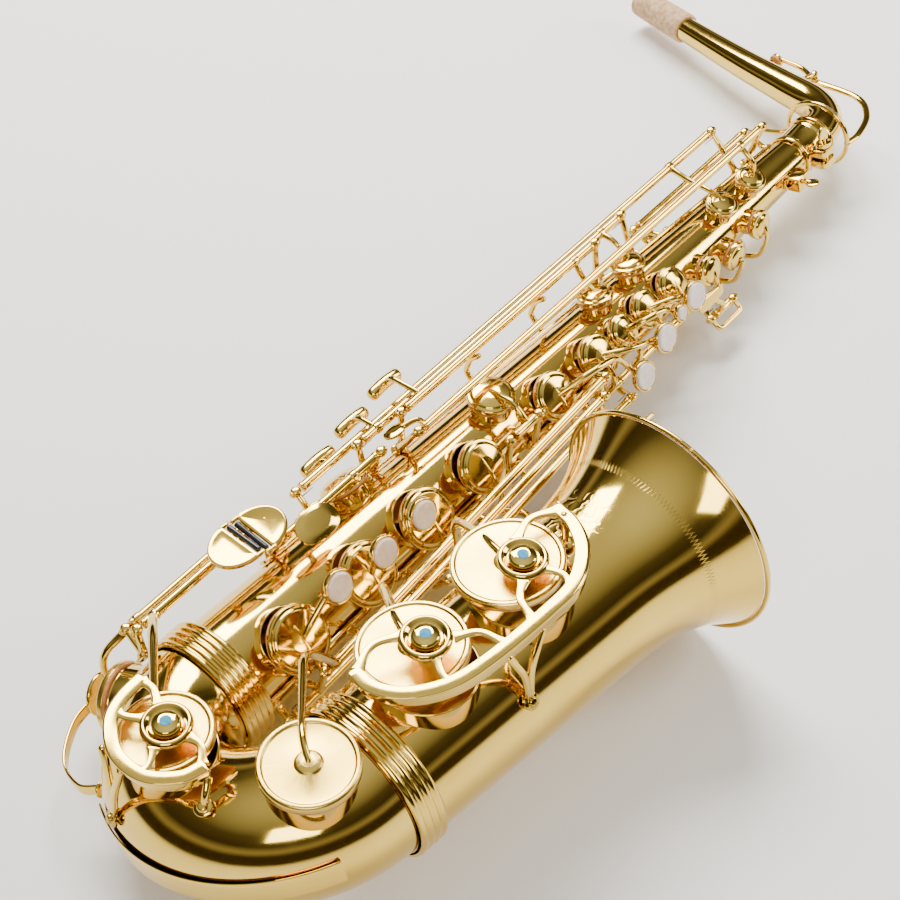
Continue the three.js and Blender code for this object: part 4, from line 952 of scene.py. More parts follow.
def hinge_tube(hinge, collars=()):
    """A hinge tube with a raised ring at each end and a barrel wherever an arm leaves it."""
    a, b = hinge
    length = float(np.linalg.norm(b - a))
    r = bpy.context.scene.saxophone_sizes.hinge_tube * 500
    end = [(0, 0), (r, 0), (r + 0.25, 0.3), (r + 0.25, 1.6), (r, 1.9)]
    out = [turned(end + [(width, length - y) for width, y in reversed(end)], a, b - a, 22, 0.2)]
    barrel = [(0, -2.2), (r + 0.2, -2.2), (r + 0.55, -1.5), (r + 0.55, 1.5), (r + 0.2, 2.2), (0, 2.2)]
    up = unit(b - a)
    for p in collars:
        at = min(max(float((p - a) @ up), 2.4), length - 2.4)
        out.append(turned(barrel, a + up * at, up, 22, 0.5))
    return out


def opened(hinge, rest, lift, hole):
    """The move that stands a key at rest: open keys are turned about their hinge by "lift" at the cup."""
    if rest != "open":
        return []
    axis = unit(hinge[1] - hinge[0])
    rise = np.cross(axis, hole.rim - hinge[0]) @ hole.face
    return [turning(axis * np.sign(rise), lift / abs(rise), hinge[0])]


def make_key(name, line, span, hole, rest, lift, metal, flat=False, extra=2.6, pearls=(), collars=()):
    """A key: hinge tube, cup and pad, its arms and touches in "metal", and pearls if it has them."""
    hinge = [along(line, y) for y in span]
    moves = opened(hinge, rest, lift, hole)
    shell, pad = cup(hole, extra, flat)
    parts = hinge_tube(hinge, collars) + list(metal)
    held = [pearl(*p) for p in pearls]
    parts += [h for h, _ in held]
    if flat:
        piece(name + "_cup", name, "spun", [shell], (), moves)
    else:
        parts.append(shell)
    piece(name + "_metal", name, "key", parts, [name], moves)
    piece(name + "_pad", name, "pad", [pad], (), moves)
    if held:
        piece(name + "_pearl", name, "pearl", [t for _, t in held], (), moves)
    return moves


PEARL_FACE = spoke(16)


def stack_key(name, line, span, hole, lift, pearl_at=None, pearl_r=8.6, detour=()):
    """A key of the two main stacks: its arm rises over the cup, and its pearl's arm may take a detour."""
    y = hole.root[1]
    knee = around(y, 4, hole.reach + 11.5)
    far = hole.top(0.2) + unit(hole.top() - knee) * hole.r * 0.55
    metal = [pipe([along(line, y), knee, hole.top(0.6), far], 2.2, 0.9, 7, flat=0.8)]
    pearls = []
    if pearl_at is not None:
        pearls = [(pearl_at, PEARL_FACE, pearl_r)]
        metal.append(pipe([hole.top(-0.6), *detour, pearl_at - PEARL_FACE * 3], 1.9, 1.5, 6))
    make_key(name, line, span, hole, "open", lift, metal, pearls=pearls, collars=[along(line, y)])


def make_stack_keys():
    """The keys of the lower and upper stacks, and the G sharp key beside them."""
    h = HOLES
    stack_key("d_key", LOWER_ROD, (7, 57), h["d"], 4, vec(37, 47, 38))
    stack_key("e_key", LOWER_ROD, (57.4, 93), h["e"], 4, vec(38.5, 76, 36))
    stack_key("f_key", LOWER_ROD, (93.4, 134), h["f"], 4, vec(38, 104, 37))
    stack_key("f_sharp_key", LOWER_ROD, (134.4, 184), h["f_sharp"], 4)
    stack_key("g_key", UPPER_ROD, (207.4, 238), h["g"], 3, vec(43, 271, 1), 8.6,
              [vec(36, 240, 24), vec(37, 258, 21)])
    stack_key("a_key", UPPER_ROD, (238.4, 272), h["a"], 3, vec(40, 295, 9), 8.6, [vec(35, 274, 14)])
    stack_key("bis_key", UPPER_ROD, (272.4, 292), h["bis"], 2.6, vec(40, 310, 15), 5,
              [vec(34, 290, 22), vec(36, 303, 21)])
    stack_key("b_key", UPPER_ROD, (292.4, 316), h["b"], 2.6, vec(37, 327, 14), 8.6, [vec(32, 317, 17)])
    stack_key("c_key", UPPER_ROD, (316.4, 342), h["c"], 2.6)
    make_key("g_sharp_key", GSHARP_ROD, (184, 200), h["g_sharp"], "shut", 3,
             [pipe([along(GSHARP_ROD, 194), vec(26, 195, 30), h["g_sharp"].top(0.3)], 2.0, 1.6, 5)])


def side_touch(line, y, z, low_z):
    """A finger bar like a long bean, on an arm from the rod."""
    x = -34
    bean = [vec(x, y - 9, z), vec(x - 0.7, y, z + 0.5), vec(x, y + 9, z)]
    return [pipe(bean, 3.5, 3.5, 8, 22),
            pipe([along(line, y), vec(x + 7, y, low_z), vec(x, y, z)], 1.4, 1.8, 4)]


def side_key(name, hole, line, span, lift, touch, bends, collars):
    """A side key: a finger bar low down, a long rod and an arm over the body to its cup."""
    arm = pipe([along(line, hole.root[1]), *bends, hole.top(0.3)], 1.9, 1.3)
    make_key(name, line, span, hole, "shut", lift, side_touch(line, *touch) + [arm],
             collars=[along(line, y) for y in collars])


def make_side_keys():
    """The right hand's long-rodded keys, each shut until it is pressed."""
    h = HOLES
    side_key("side_e_key", h["side_e"], SIDE_E_ROD, (90, 436), 3, (112, 33, 35),
             [vec(-10, 398, 31), vec(5, 398, 27.2)], (398,))
    side_key("side_c_key", h["side_c"], SIDE_C_ROD, (128, 338), 3,
             (139, 38, 44), [vec(-4, 323, 38)], (139, 323))
    side_key("side_bb_key", h["side_bb"], SIDE_BB_ROD, (154, 306), 2.6,
             (166, 43, 50), [vec(-3, 291, 35)], (291,))
    make_key("high_f_sharp_key", HIGH_F_ROD, (151, 446), h["high_f_sharp"], "shut", 2.6, [
        pipe([along(HIGH_F_ROD, 427), vec(15, 427, 31), h["high_f_sharp"].top(0.3)], 1.9, 1.3),
        plate(oval(4.8, 6.5), 2, vec(-2, 139, 43.5), spoke(95), crown=0.5),
        pipe([along(HIGH_F_ROD, 153), vec(2, 152, 44), vec(-1, 142, 43.4)], 1.5)],
        collars=[along(HIGH_F_ROD, 427)])
    make_key("alt_f_sharp_key", ALT_ROD, (60, 125), h["alt_f_sharp"], "shut", 3, [
        pipe([along(ALT_ROD, 108), h["alt_f_sharp"].top(0.3)], 2.0, 1.5),
        plate(oval(8.5, 12.5, 48, 0.85), 2.2, vec(9, 71, 42), spoke(48), crown=0.9, edge=1.0),
        pipe([along(ALT_ROD, 71), vec(8.6, 71, 41.6)], 1.8)], collars=[along(ALT_ROD, y) for y in (71, 108)])


PINKY_FACE = spoke(66)
PINKY_ACROSS = vec(math.sin(math.radians(66)), 0, -math.cos(math.radians(66)))


def pinky_at(across, y):
    """A place on the right little finger's plates."""
    return vec(-7, y, 49) + PINKY_ACROSS * across


def pinky_touch(edge, side):
    """A D-shaped plate, straight towards the other one, with an ear at each end of its roller."""
    t = np.linspace(0, math.pi, 22)
    outline = np.stack([13 * np.cos(t), -side * 18 * np.sin(t)], -1)
    ears = [ribbon([pinky_at(a, edge - side * 2), pinky_at(a, edge + side * 3.2)], PINKY_FACE, 1.6, 2.4)
            for a in (-11.8, 11.8)]
    return [plate(outline, 2.4, pinky_at(0, edge), PINKY_FACE, edge=1.0, crown=-0.5, corner=1.5), *ears]


def roller(name, body, centre, direction, length, moves=()):
    """A little barrel on its pin, slightly waisted."""
    half = unit(direction) * length / 2
    line = [(0, 0), (1.5, 0), (1.6, 1), (1.45, length / 2), (1.6, length - 1), (1.5, length), (0, length)]
    piece(name + "_barrel", body, "black", [turned(line, centre - half, half, 26, 0.4)], [name], moves)


def make_little_finger_keys():
    """Low C and low E flat, with a roller on the edge of each plate."""
    h = HOLES
    arms = [pipe([vec(-20, -11, 40), vec(-2, -22, 49), vec(38, -55, 49), h["low_c"].top(0.6)], 2.6, 1.5, 14),
            pipe([vec(-20, 30, 40), vec(-9, 30, 48.6)], 2)]
    low_c = make_key("low_c_key", LOW_C_ROD, (-18, 60), h["low_c"], "open", LOW_C_LIFT,
                     pinky_touch(39, 1) + arms, True, collars=[along(LOW_C_ROD, y) for y in (-11, 30)])
    arms = [pipe([vec(-30.5, -14, 35.5), vec(-45, -34, 20), h["low_e_flat"].top(0.4)], 2.4, 1.5, 10),
            pipe([vec(-30.5, 56, 35.5), vec(-26, 56, 47), vec(-9, 56, 48.8)], 2)]
    make_key("low_e_flat_key", LOW_EB_ROD, (-18, 60), h["low_e_flat"], "shut", LOW_EB_LIFT,
             pinky_touch(47, -1) + arms, True, collars=[along(LOW_EB_ROD, y) for y in (-14, 56)])
    roller("low_c_roller", "low_c_roller", pinky_at(0, 41.1), PINKY_ACROSS, 20, low_c)
    roller("low_e_flat_roller", "low_e_flat_roller", pinky_at(0, 44.9), PINKY_ACROSS, 20)


TABLE_FACE = spoke(-50)
TABLE_ACROSS = vec(math.sin(math.radians(50)), 0, math.cos(math.radians(50)))


def table_plate(x, y, z, half_width, half_length):
    """A plate of the left little finger's table, with two cut corners."""
    w, l = half_width, half_length
    outline = [(-w, 3 - l), (3 - w, -l), (w - 3, -l), (w, 3 - l), (w, l), (-w, l)]
    return plate(outline, 2.4, vec(x, y, z), TABLE_FACE, edge=0.9, crown=-0.4, corner=1.6)


def table_key(name, hole, line, span, rest, lift, cup_y, cup_bends, touch, touch_y, touch_bends):
    """A wide key on the bell or bow: one arm leaves its rod for the cup, and one for its table plate."""
    make_key(name, line, span, hole, rest, lift, [
        pipe([along(line, cup_y), *cup_bends, hole.top(0.6)], 2.6, 1.4, 12),
        table_plate(*touch),
        pipe([along(line, touch_y), *touch_bends], 1.7)], True, 3, collars=[along(line, cup_y)])


def make_table_keys():
    """The keys of the bell and the bow that the left little finger works, and its G sharp lever."""
    h = HOLES
    table_key("low_c_sharp_key", h["low_c_sharp"], CSHARP_ROD, (23, 246), "shut", 4, 26,
              [vec(64, 6, 42), vec(106, -34, 51)], (48, 237, -24, 13, 6.5),
              244.3, [vec(36, 244.3, -9), vec(47.4, 238, -23.4)])
    table_key("low_b_key", h["low_b"], BELL_ROD, (60, 236), "open", BELL_KEY_LIFT, 64,
              [vec(73, 54, 44), vec(107, 32, 52)], (41, 217, -29.8, 7, 9),
              234.4, [vec(42, 234.4, -10), vec(41, 222, -28)])
    table_key("low_b_flat_key", h["low_b_flat"], BB_ROD, (102, 226), "open", BELL_KEY_LIFT, 108,
              [vec(76, 102, 44), vec(112, 88, 54)], (54, 217, -18.9, 7, 9),
              221, [vec(55, 220, -8), vec(53, 217, -17)])
    lever = [along(LEVER_ROD, y) for y in (252, 270)]
    piece("g_sharp_lever_metal", "g_sharp_lever", "key", hinge_tube(lever) + [
        table_plate(46, 255, -24, 13, 7), pipe([along(LEVER_ROD, 258), vec(45, 256, -24)], 1.8)],
        ["g_sharp_lever"])
    roller("table_roller", "table_roller", vec(48, 228.2, -24), TABLE_ACROSS, 24)


def palm_key(name, hole, start, end, touch_y, touch_angle):
    """A palm key: an arm bent round the body to its cup, and an oval touch on the other side."""
    y = hole.root[1]
    touch = around(touch_y, touch_angle, body_radius(touch_y) + 11)
    bend = [around(y, -52, hole.reach + 11), around(y, -17, hole.reach + 9)]
    make_key(name, PALM_ROD, (start, end), hole, "shut", 3, [
        pipe([along(PALM_ROD, y), *bend, hole.top(0.3)], 2.0, 1.3, 7),
        plate(oval(5.2, 11, 48, 0.9), 2.2, touch, spoke(touch_angle), edge=1.0, crown=0.9),
        pipe([along(PALM_ROD, (start + end) / 2), touch], 1.8)], extra=2.2, collars=[along(PALM_ROD, y)])


def make_palm_keys():
    """The left palm's three keys, and the front key that the first finger rolls on to."""
    palm_key("palm_d_key", HOLES["palm_d"], 353, 371, 356, -146)
    palm_key("palm_e_flat_key", HOLES["palm_e_flat"], 379, 396, 383, -148)
    palm_key("palm_f_key", HOLES["palm_f"], 404, 422, 408, -142)
    hinge = [along(FRONT_F_ROD, y) for y in (352, 366)]
    piece("front_f_metal", "front_f_key", "key", hinge_tube(hinge) + [
        pipe([along(FRONT_F_ROD, 356), vec(37, 354, -12), vec(38, 343, -1)], 1.8, 1.8, 4),
        plate([(-4, -10.5), (4, -10.5), (5, -4), (3.4, 12), (-3.4, 12)], 2,
              vec(39, 341, 1), spoke(4), crown=0.4)],
        ["front_f_key"])


def make_octave_parts():
    """The octave mechanism on the body: thumb lever, long rod and vent key."""
    piece("octave_thumb_metal", "octave_thumb_lever", "key", [
        rod(vec(-25, 352, -6), vec(-25, 352, 6), 2.4),
        plate(oval(6.5, 10), 2.4, vec(-30, 326, 0), BACK, crown=0.6),
        pipe([vec(-25, 352, 0), vec(-28, 340, 0), vec(-29.6, 330, 0)], 1.8)], ["octave_thumb_lever"])
    hinge = [along(OCTAVE_ROD, y) for y in (366, 470)]
    piece("octave_rod_metal", "octave_rod", "key", hinge_tube(hinge) + [
        pipe([along(OCTAVE_ROD, 468), vec(-33, 472, 13), vec(-28, 490, 8), vec(-17.2, 501, 2),
              vec(-17.2, 513, 0)], 1.3),
        pipe([along(OCTAVE_ROD, 369), vec(-30, 364, 10), vec(-29, 358.5, 2)], 1.5)], ["octave_rod"])
    rim = HOLES["octave_vent"].rim + BACK * GAP
    piece("octave_vent_metal", "octave_vent_key", "key", [
        rod(vec(-24, 372, -4), vec(-24, 372, 6), 2.4), pipe([vec(-24, 372, 0), rim + vec(-3, 0, 0)], 1.5),
        pipe([vec(-24, 372, 0), vec(-25, 360, 0)], 1.4),
        turned([(0, 1.2), (4, 1.2), (4, 3), (0, 4)], rim, BACK, 30)], ["octave_vent_key"])
    pad = turned([(0, 0), (3.7, 0), (3.7, 1.3), (0, 1.3)], rim, BACK, 30)
    piece("octave_vent_pad", "octave_vent_key", "pad", [pad])


# ---- Posts ----------------------------------------------------------------------------------------
def head_at(line, y, side):
    """The middle of a post's ball, just past the end of a hinge tube at height y."""
    return along(line, y + side * (GAP + BALL_R))


def pivot_head(centre, way):
    """A post's ball head with the pivot screw's slotted end standing out of its far side."""
    way = unit(way)
    face = centre + way * (BALL_R - 0.35)
    radius = BALL_R - 0.3
    across = basis(way)[0]
    half = [(-1.5, 0.25), (1.5, 0.25), (1.15, 1.05), (0, 1.5), (-1.15, 1.05)]
    halves = [plate(half, 0.9, face, way, across * s, edge=0.2, corner=0.4) for s in (1, -1)]
    return [ball(centre, radius), rod(centre, centre + way * (BALL_R - 0.25), 1.7, sides=20), *halves]


def leg(foot, head, bend=None):
    """A turned post: it swells at its foot and below its ball."""
    points = [foot] + ([bend] if bend is not None else []) + [head]
    way = unit(points[1] - points[0])
    base = turned([(0, -0.4), (3.6, -0.4), (3.4, 0.6), (2.4, 1.1), (1.9, 2.2), (0, 2.2)], foot, way, 24, 0.3)
    return [pipe(points, 2.1, 1.6, 3), base]


def rib(degrees, start, end, width):
    """A long flat foot lying on the body."""
    y = np.linspace(start, end, 60)
    path = spoke(degrees) * (body_radius(y) + GAP + 1)[:, None] + y[:, None] * UP
    return ribbon(path, spoke(degrees), width, 1.9)


def on_rib(y, degrees):
    """A place on a rib's upper face."""
    return around(y, degrees, body_radius(y) + GAP + 1.5)


def ribbed_posts(name, degrees, start, end, width, heads, extras=()):
    """Posts that share one rib. Each is a hinge line, the height of the tube's end, the side that
    its head lies on, and a bend for its leg where it isn't straight."""
    parts = [rib(degrees, start, end, width), *extras]
    springs = []
    for line, y, side, *bend in heads:
        head = head_at(line, y, side)
        foot = on_rib(head[1], degrees)
        first = vec(bend[0][0], head[1], bend[0][2]) if bend else None
        parts += leg(foot, head, first) + pivot_head(head, (line[1] - line[0]) * side)
        needle = vec(0, -side, 0)
        off = unit(foot - head) * (BALL_R + 0.4)
        springs.append(pipe([head + off, head + off + needle * 9], 0.35, 0.22, 1, 6))
    piece(name + "_metal", HORN, "brass", parts, [name])
    piece(name + "_springs", HORN, "steel", springs)


def make_stack_posts():
    """The posts of the two main stacks and of the rods to the bell, on two ribs."""
    ribbed_posts("lower_stack_posts", -12, 1.5, 191, 8, [
        (LOWER_ROD, 7, -1), (LOWER_ROD, 184, 1), (CSHARP_ROD, 23, -1, vec(44, 0, -4)),
        (BELL_ROD, 60, -1, vec(44, 0, -4)), (BB_ROD, 102, -1, vec(46, 0, -6)), (GSHARP_ROD, 184, -1)])
    yoke = [head_at(FRONT_F_ROD, 352, -1), head_at(FRONT_F_ROD, 366, 1)]
    out = vec(5, 0, -6)
    ribbed_posts("upper_stack_posts", -12, 201, 351, 7, [
        (UPPER_ROD, 207.4, -1), (UPPER_ROD, 342, 1), (GSHARP_ROD, 200, 1),
        (BB_ROD, 226, 1, vec(42, 0, -5)), (BELL_ROD, 236, 1, vec(38, 0, -4)),
        (CSHARP_ROD, 246, 1, vec(33, 0, -3)), (LEVER_ROD, 252, -1, vec(20, 0, -18)),
        (LEVER_ROD, 270, 1, vec(20, 0, -18)), (FRONT_F_ROD, 352, -1),
    ], [pipe([yoke[0], yoke[0] + out, yoke[1] + out, yoke[1]], 1.5, 1.5, 3), *pivot_head(yoke[1], UP)])


def make_side_posts():
    """The posts and rod guides of the side keys, and of the right little finger's keys."""
    guides = [pipe([on_rib(y, 128), vec(-19, y, 27), vec(-12.8, y, 36.6), vec(-6, y, 40.6)], 1.6, 1.6, 3)
              for y in (208, 262)]
    ribbed_posts("side_key_posts", 128, 121, 453, 5, [
        (SIDE_C_ROD, 128, -1), (ALT_ROD, 125, 1), (HIGH_F_ROD, 151, -1), (SIDE_BB_ROD, 154, -1),
        (SIDE_BB_ROD, 306, 1), (SIDE_C_ROD, 338, 1), (SIDE_E_ROD, 436, 1), (HIGH_F_ROD, 446, 1)], guides)
    ribbed_posts("little_finger_posts", 122, 50, 93, 6, [
        (LOW_C_ROD, 60, 1), (LOW_EB_ROD, 60, 1), (ALT_ROD, 60, -1), (SIDE_E_ROD, 90, -1)])


def make_palm_posts():
    """The palm keys' posts, with one between each key and the next."""
    ribbed_posts("palm_key_posts", -100, 345, 430, 6, [
        (PALM_ROD, 353, -1), (PALM_ROD, 375.2 - GAP - BALL_R, 1),
        (PALM_ROD, 400 - GAP - BALL_R, 1), (PALM_ROD, 422, 1)])


def make_octave_posts():
    """The posts of the octave mechanism on one rib."""
    legs = []
    for y, z, x in ((352, 9.2, -25), (372, 9.2, -24)):
        legs += [pipe([on_rib(y, 150), vec(x, y, z)], 1.7), ball(vec(x, y, z), 2.5)]
    for y, side in ((366, -1), (470, 1)):
        head = head_at(OCTAVE_ROD, y, side)
        legs += leg(on_rib(head[1], 150), head) + pivot_head(head, vec(0, side, 0))
    piece("octave_posts_metal", HORN, "brass", [rib(150, 346, 477, 5), *legs], ["octave_posts"])


def make_bow_posts():
    """Two posts on one round foot on the bow, for the lower ends of the little finger's keys."""
    foot, out = vec(-17.5, -24, 26.6), unit(vec(-0.5, -0.1, 0.86))
    heads = [head_at(LOW_C_ROD, -18, -1), head_at(LOW_EB_ROD, -18, -1)]
    parts = [turned([(0, 0), (6, 0), (6, 1.2), (0, 2.4)], foot, out, 36)]
    for head in heads:
        parts += leg(foot + out, head) + pivot_head(head, vec(0, -1, 0))
    piece("bow_posts_metal", HORN, "brass", parts, ["bow_posts"])


# ---- Guards ---------------------------------------------------------------------------------------
def guard_frame(root, axis):
    """Places on a guard: across, ahead along the tube and up, from the tube's middle line."""
    across = unit(np.cross(axis, SIDE_FACE))
    ahead = np.cross(SIDE_FACE, across)

    def at(u, v, h):
        return root + across * u + ahead * v + SIDE_FACE * h
    return at


def boss(place, face):
    """The dished ring that a bumper screws through."""
    line = [(3.9, 0), (11.5, 0), (11.5, 1.5), (10.6, 2.8), (9.4, 3), (8.2, 2.2), (7.2, 1.6), (3.9, 1.6)]
    return turned(line + line[:1], place, face, 56, 0.5)


def guard(name, at, height, bosses, rim_line, spokes, feet):
    """A key guard: a curved sheet's rim with its rolled skirt, straps round leaf-shaped openings,
    bosses, and arched legs to the feet."""
    rim = smooth([at(u, v, height + SHEET / 2) for u, v in rim_line], 90)
    parts = [ribbon(rim, SIDE_FACE, 6.4, SHEET)]
    middle = bosses[0][1]
    skirt = smooth([at(u * 1.085, v + (v - middle) * 0.03, height - 2.8) for u, v in rim_line], 90)
    out = unit(np.cross(np.gradient(skirt, axis=0), SIDE_FACE))
    parts.append(ribbon(skirt, out, 7.6, 1.5))
    parts.append(pipe(skirt + SIDE_FACE * 3.0, 1.2, 1.2, 0.1, 12))
    for u, v in bosses:
        parts.append(boss(at(u, v, height), SIDE_FACE))
    for line in spokes:
        path = smooth([at(u, v, height + SHEET / 2) for u, v in line], 24)
        share = np.linspace(-1, 1, 24)
        parts.append(ribbon(path, SIDE_FACE, 3.6 + 3.2 * share ** 4, SHEET - 0.1))
    seat = [(0, 0), (4.2, 0), (4.2, 1.4), (3.4, 1.7), (2.3, 1.9), (2.1, 3), (1.5, 3.4), (0, 3.4)]
    for *line, foot, normal in feet:
        points = [at(*p) for p in line] + [at(*foot)]
        face = at(*normal) - at(0, 0, 0)
        parts.append(pipe(points, 1.9, 1.7, 5, 16))
        parts.append(turned(seat, points[-1], face, 30, 0.3))
    piece(name + "_sheet", HORN, "brass", parts, [name])


def bumper(name, hole, height, lift):
    """A domed screw, a blue felt on its lower end and a blue button set in its top."""
    top = hole.at(height)
    drop = height - hole.reach - GAP - CUP_DEPTH - lift - 0.6
    screw = turned([(0, 1.2 - drop), (3.4, 1.2 - drop), (3.4, 2.1), (6.2, 2.1), (6.4, 2.7), (5.7, 3.8),
                    (3.4, 4.5), (0, 4.7)], top, hole.face, 40, 0.5)
    felt = turned([(0, -drop), (3.3, -drop), (3.5, 0.4 - drop), (3.5, 1.3 - drop), (0, 1.3 - drop)],
                  top, hole.face, 30)
    button = turned([(0, 4.2), (2.8, 4.2), (2.6, 4.75), (0, 4.9)], top, hole.face, 30, 0.3)
    piece(name + "_screw", name, "polished", [screw], [name])
    piece(name + "_felt", name, "felt", [felt, button])


def guard_height(hole, lift):
    """How high a guard stands over a cup that opens by "lift"."""
    return hole.reach + GAP + CUP_DEPTH + lift + 4


def make_bell_guard():
    """The long guard over the bell's two keys, on its legs, and its two bumpers."""
    rise = float(BELL_AXIS @ SIDE_FACE)
    high = guard_height(HOLES["low_b_flat"], BELL_KEY_LIFT) + 100 * rise

    def bell_foot(u, v):
        out = bell_radius(v / BELL_LENGTH) + 1.3
        up = math.sqrt(out * out - u * u)
        return [(u, v, up + v * rise), (u / out, 0, up / out)]

    guard("bell_key_guard", guard_frame(bell_point(0), BELL_AXIS), high, [(0, 42), (0, 100)],
          [(-10, 131), (3, 129), (15, 121), (24, 106), (26, 88), (26, 55), (23, 34), (14, 18), (2, 10),
           (-9, 10)],
          [[(-9, 105), (-13, 118), (-8, 130)], [(10, 103), (18, 106), (25, 104)],
           [(8, 92), (14, 84), (25, 80)], [(8, 51), (14, 60), (25, 63)],
           [(10, 38), (18, 34), (23, 34)], [(-8, 36), (-13, 24), (-8, 11)]],
          [[(28.3, 82, high - 5), (31, 73, 44), *bell_foot(33, 71)],
           [(28.3, 62, high - 5), (31, 69, 44), *bell_foot(33, 71)],
           [(-4, 130, high + 0.8), (-4, 132, 54), *bell_foot(-4, 132)]])
    bumper("low_b_bumper", HOLES["low_b"], high - 42 * rise, BELL_KEY_LIFT)
    bumper("low_b_flat_bumper", HOLES["low_b_flat"], high - 100 * rise, BELL_KEY_LIFT)


def make_low_c_guard():
    """The guard over low C, on its legs, and its bumper."""
    high = guard_height(HOLES["low_c"], LOW_C_LIFT)
    guard("low_c_guard", guard_frame(HOLES["low_c"].root, UP), high, [(0, 0)],
          [(-25, 10), (-24, -3), (-19, -14), (-6, -23), (10, -23), (22, -14), (26, -4)],
          [[(-10, 5), (-17, 9), (-24, 9)], [(-10, -4), (-17, -8), (-22, -8)], [(4, -11), (8, -17), (9, -22)],
           [(11, 2), (18, 2), (25, -4)]],
          [[(-16, -22.5, high - 5), (-10, -27, 32), (-10, -29.5, 12), (-0.33, -0.88, 0.35)],
           [(-2, -25.4, high - 5), (-8, -27.5, 32), (-10, -29.5, 12), (-0.33, -0.88, 0.35)],
           [(28, -5, high - 5), (31, -10, 48), (31, -12, 41.8), (0.1, -0.4, 0.9)]])
    bumper("low_c_bumper", HOLES["low_c"], high, LOW_C_LIFT)


def make_low_e_flat_guard():
    """The strap arched over low E flat, with a dished disc above its cup."""
    hole = HOLES["low_e_flat"]
    high = guard_height(hole, LOW_EB_LIFT)

    def over(degrees, h, z):
        return bow_point(degrees, BOW_R + h) + vec(0, 0, z)

    loop = smooth([over(50, 33.4, -3), over(47, 44, -3), over(38, high + 3, -2), over(26, high + 4.5, 0),
                   over(16, high + 1, 0)], 60)
    disc = turned([(0, 0), (10.6, 0), (11, 0.6), (11, 1.8), (10, 2.3), (8.4, 1.5), (4, 1.1), (0, 1)],
                  hole.at(high), hole.face, 56)
    foot = turned([(0, 0), (4.2, 0), (4.2, 1.2), (2.2, 1.6), (1.8, 3), (0, 3)],
                  over(50, 32.8, -3), hole.face, 30)
    sideways = unit(np.cross(np.gradient(loop, axis=0), RIGHT))
    piece("low_e_flat_guard_strap", HORN, "brass",
          [disc, ribbon(loop, sideways, 6, 1.6), foot], ["low_e_flat_guard"])


# ---- Fittings -------------------------------------------------------------------------------------
def make_thumb_hook():
    """The right thumb's hook, on a plate with two screws."""
    y = 106
    back = -body_radius(y) - GAP
    path = smooth([vec(back - 1.4, y - 15, 0), vec(back - 1.4, y + 2, 0), vec(back - 1.4, y + 19, 0)], 20)
    bends = ((1.6, -4), (3.4, 5), (10, 8.4), (15.6, 4), (17.6, -2), (17.8, -9))
    hook = smooth([vec(back - u, y + v, 0) for u, v in bends], 50)
    outward = unit(np.cross(np.gradient(hook, axis=0), RIGHT))
    screws = [turned([(0, 0), (3, 0), (3, 0.9), (2, 1.5), (0, 1.6)], vec(back - 2, y + d, 0), BACK, 30)
              for d in (-10, 14)]
    piece("thumb_hook_metal", HORN, "brass",
          [ribbon(path, BACK, 13, 2), ribbon(hook, outward, 13, 3), *screws], ["thumb_hook"])


def make_strap_ring():
    """The ring that the neck strap clips to, standing on its plate."""
    y = 206
    back = -body_radius(y) - GAP
    path = np.linspace(vec(back - 1.2, y - 9, 0), vec(back - 1.2, y + 9, 0), 12)
    piece("strap_ring_metal", HORN, "brass", [
        hoop(circle(vec(back - 8, y, 0), FRONT, UP, 7), 1.55),
        ribbon(path, BACK, 10, 2.2)], ["strap_ring"])


def make_thumb_rest():
    """The left thumb's domed button."""
    y = 300
    piece("thumb_rest_button", HORN, "black", [turned(
        [(0, 0), (8, 0), (8.6, 3), (7.4, 5.2), (0, 6.4)], vec(-body_radius(y) - GAP, y, 0), BACK, 48, 1.5)],
        ["thumb_rest"])


def make_bell_brace():
    """The ring that holds the bell off the body, with a flat foot on each."""
    y, x, z, r = 147, 50, -6, 13
    foot = on_rib(y, -12) + spoke(-12) * 1.9
    bell_face = vec(-BELL_AXIS[1], BELL_AXIS[0], 0)
    seat = bell_point(163) + bell_face * (bell_radius(168 / BELL_LENGTH) + 2.2) + vec(0, 0, z)
    piece("bell_brace_ring", HORN, "brass", [
        hoop(circle(vec(x, y, z), FRONT, UP, r), 2.0, 90, 18),
        ribbon(np.linspace(foot - UP * 9, foot + UP * 9, 12), spoke(-12), 8, 1.8),
        rod(foot, vec(x - r, y, z), 2.2),
        ribbon(np.linspace(seat - BELL_AXIS * 9, seat + BELL_AXIS * 9, 12), bell_face, 10, 1.8),
        rod(seat, vec(x + r, y, z), 2.2)], ["bell_brace"])


def make_lyre_holder():
    """The square socket for a music holder, with its screw."""
    y = 461
    front = body_radius(y) + GAP
    # The socket is a square tube: an outline carried along the body, out and back.
    side = np.array([[-1, -1], [-1, 1], [1, 1], [1, -1]])
    outer, inner = (eased(side * s, 0.8, True, 4) for s in (4.5, 3.0))
    lift = [(outer, -5.7), (outer, 0), (outer, 5.7), (outer * 0.95, 6), (inner, 6), (inner, 0), (inner, -6),
            (outer * 0.95, -6)]
    box = skin([np.stack([front + 4.6 + o[:, 0], np.full(len(o), y + h), o[:, 1]], -1) for o, h in lift],
               True)
    foot = np.linspace(vec(front + 0.9, y - 8, 0), vec(front + 0.9, y + 8, 0), 8)
    piece("lyre_holder_socket", HORN, "brass", [
        box, ribbon(foot, FRONT, 7, 1.6), rod(vec(front + 8, y, 0), vec(front + 13, y, 0), 1.6),
        plate(oval(4.5, 3.6), 2, vec(front + 14, y, 0), RIGHT)], ["lyre_holder"])


# ---- Studio ---------------------------------------------------------------------------------------
CAMERA_PLACE = vec(595, -312, 590)  # in the instrument's axes, millimetres
CAMERA_RIGHT = unit(vec(0.734, 0.641, -0.223))
CAMERA_BACK = unit(vec(0.620, -0.500, 0.604))


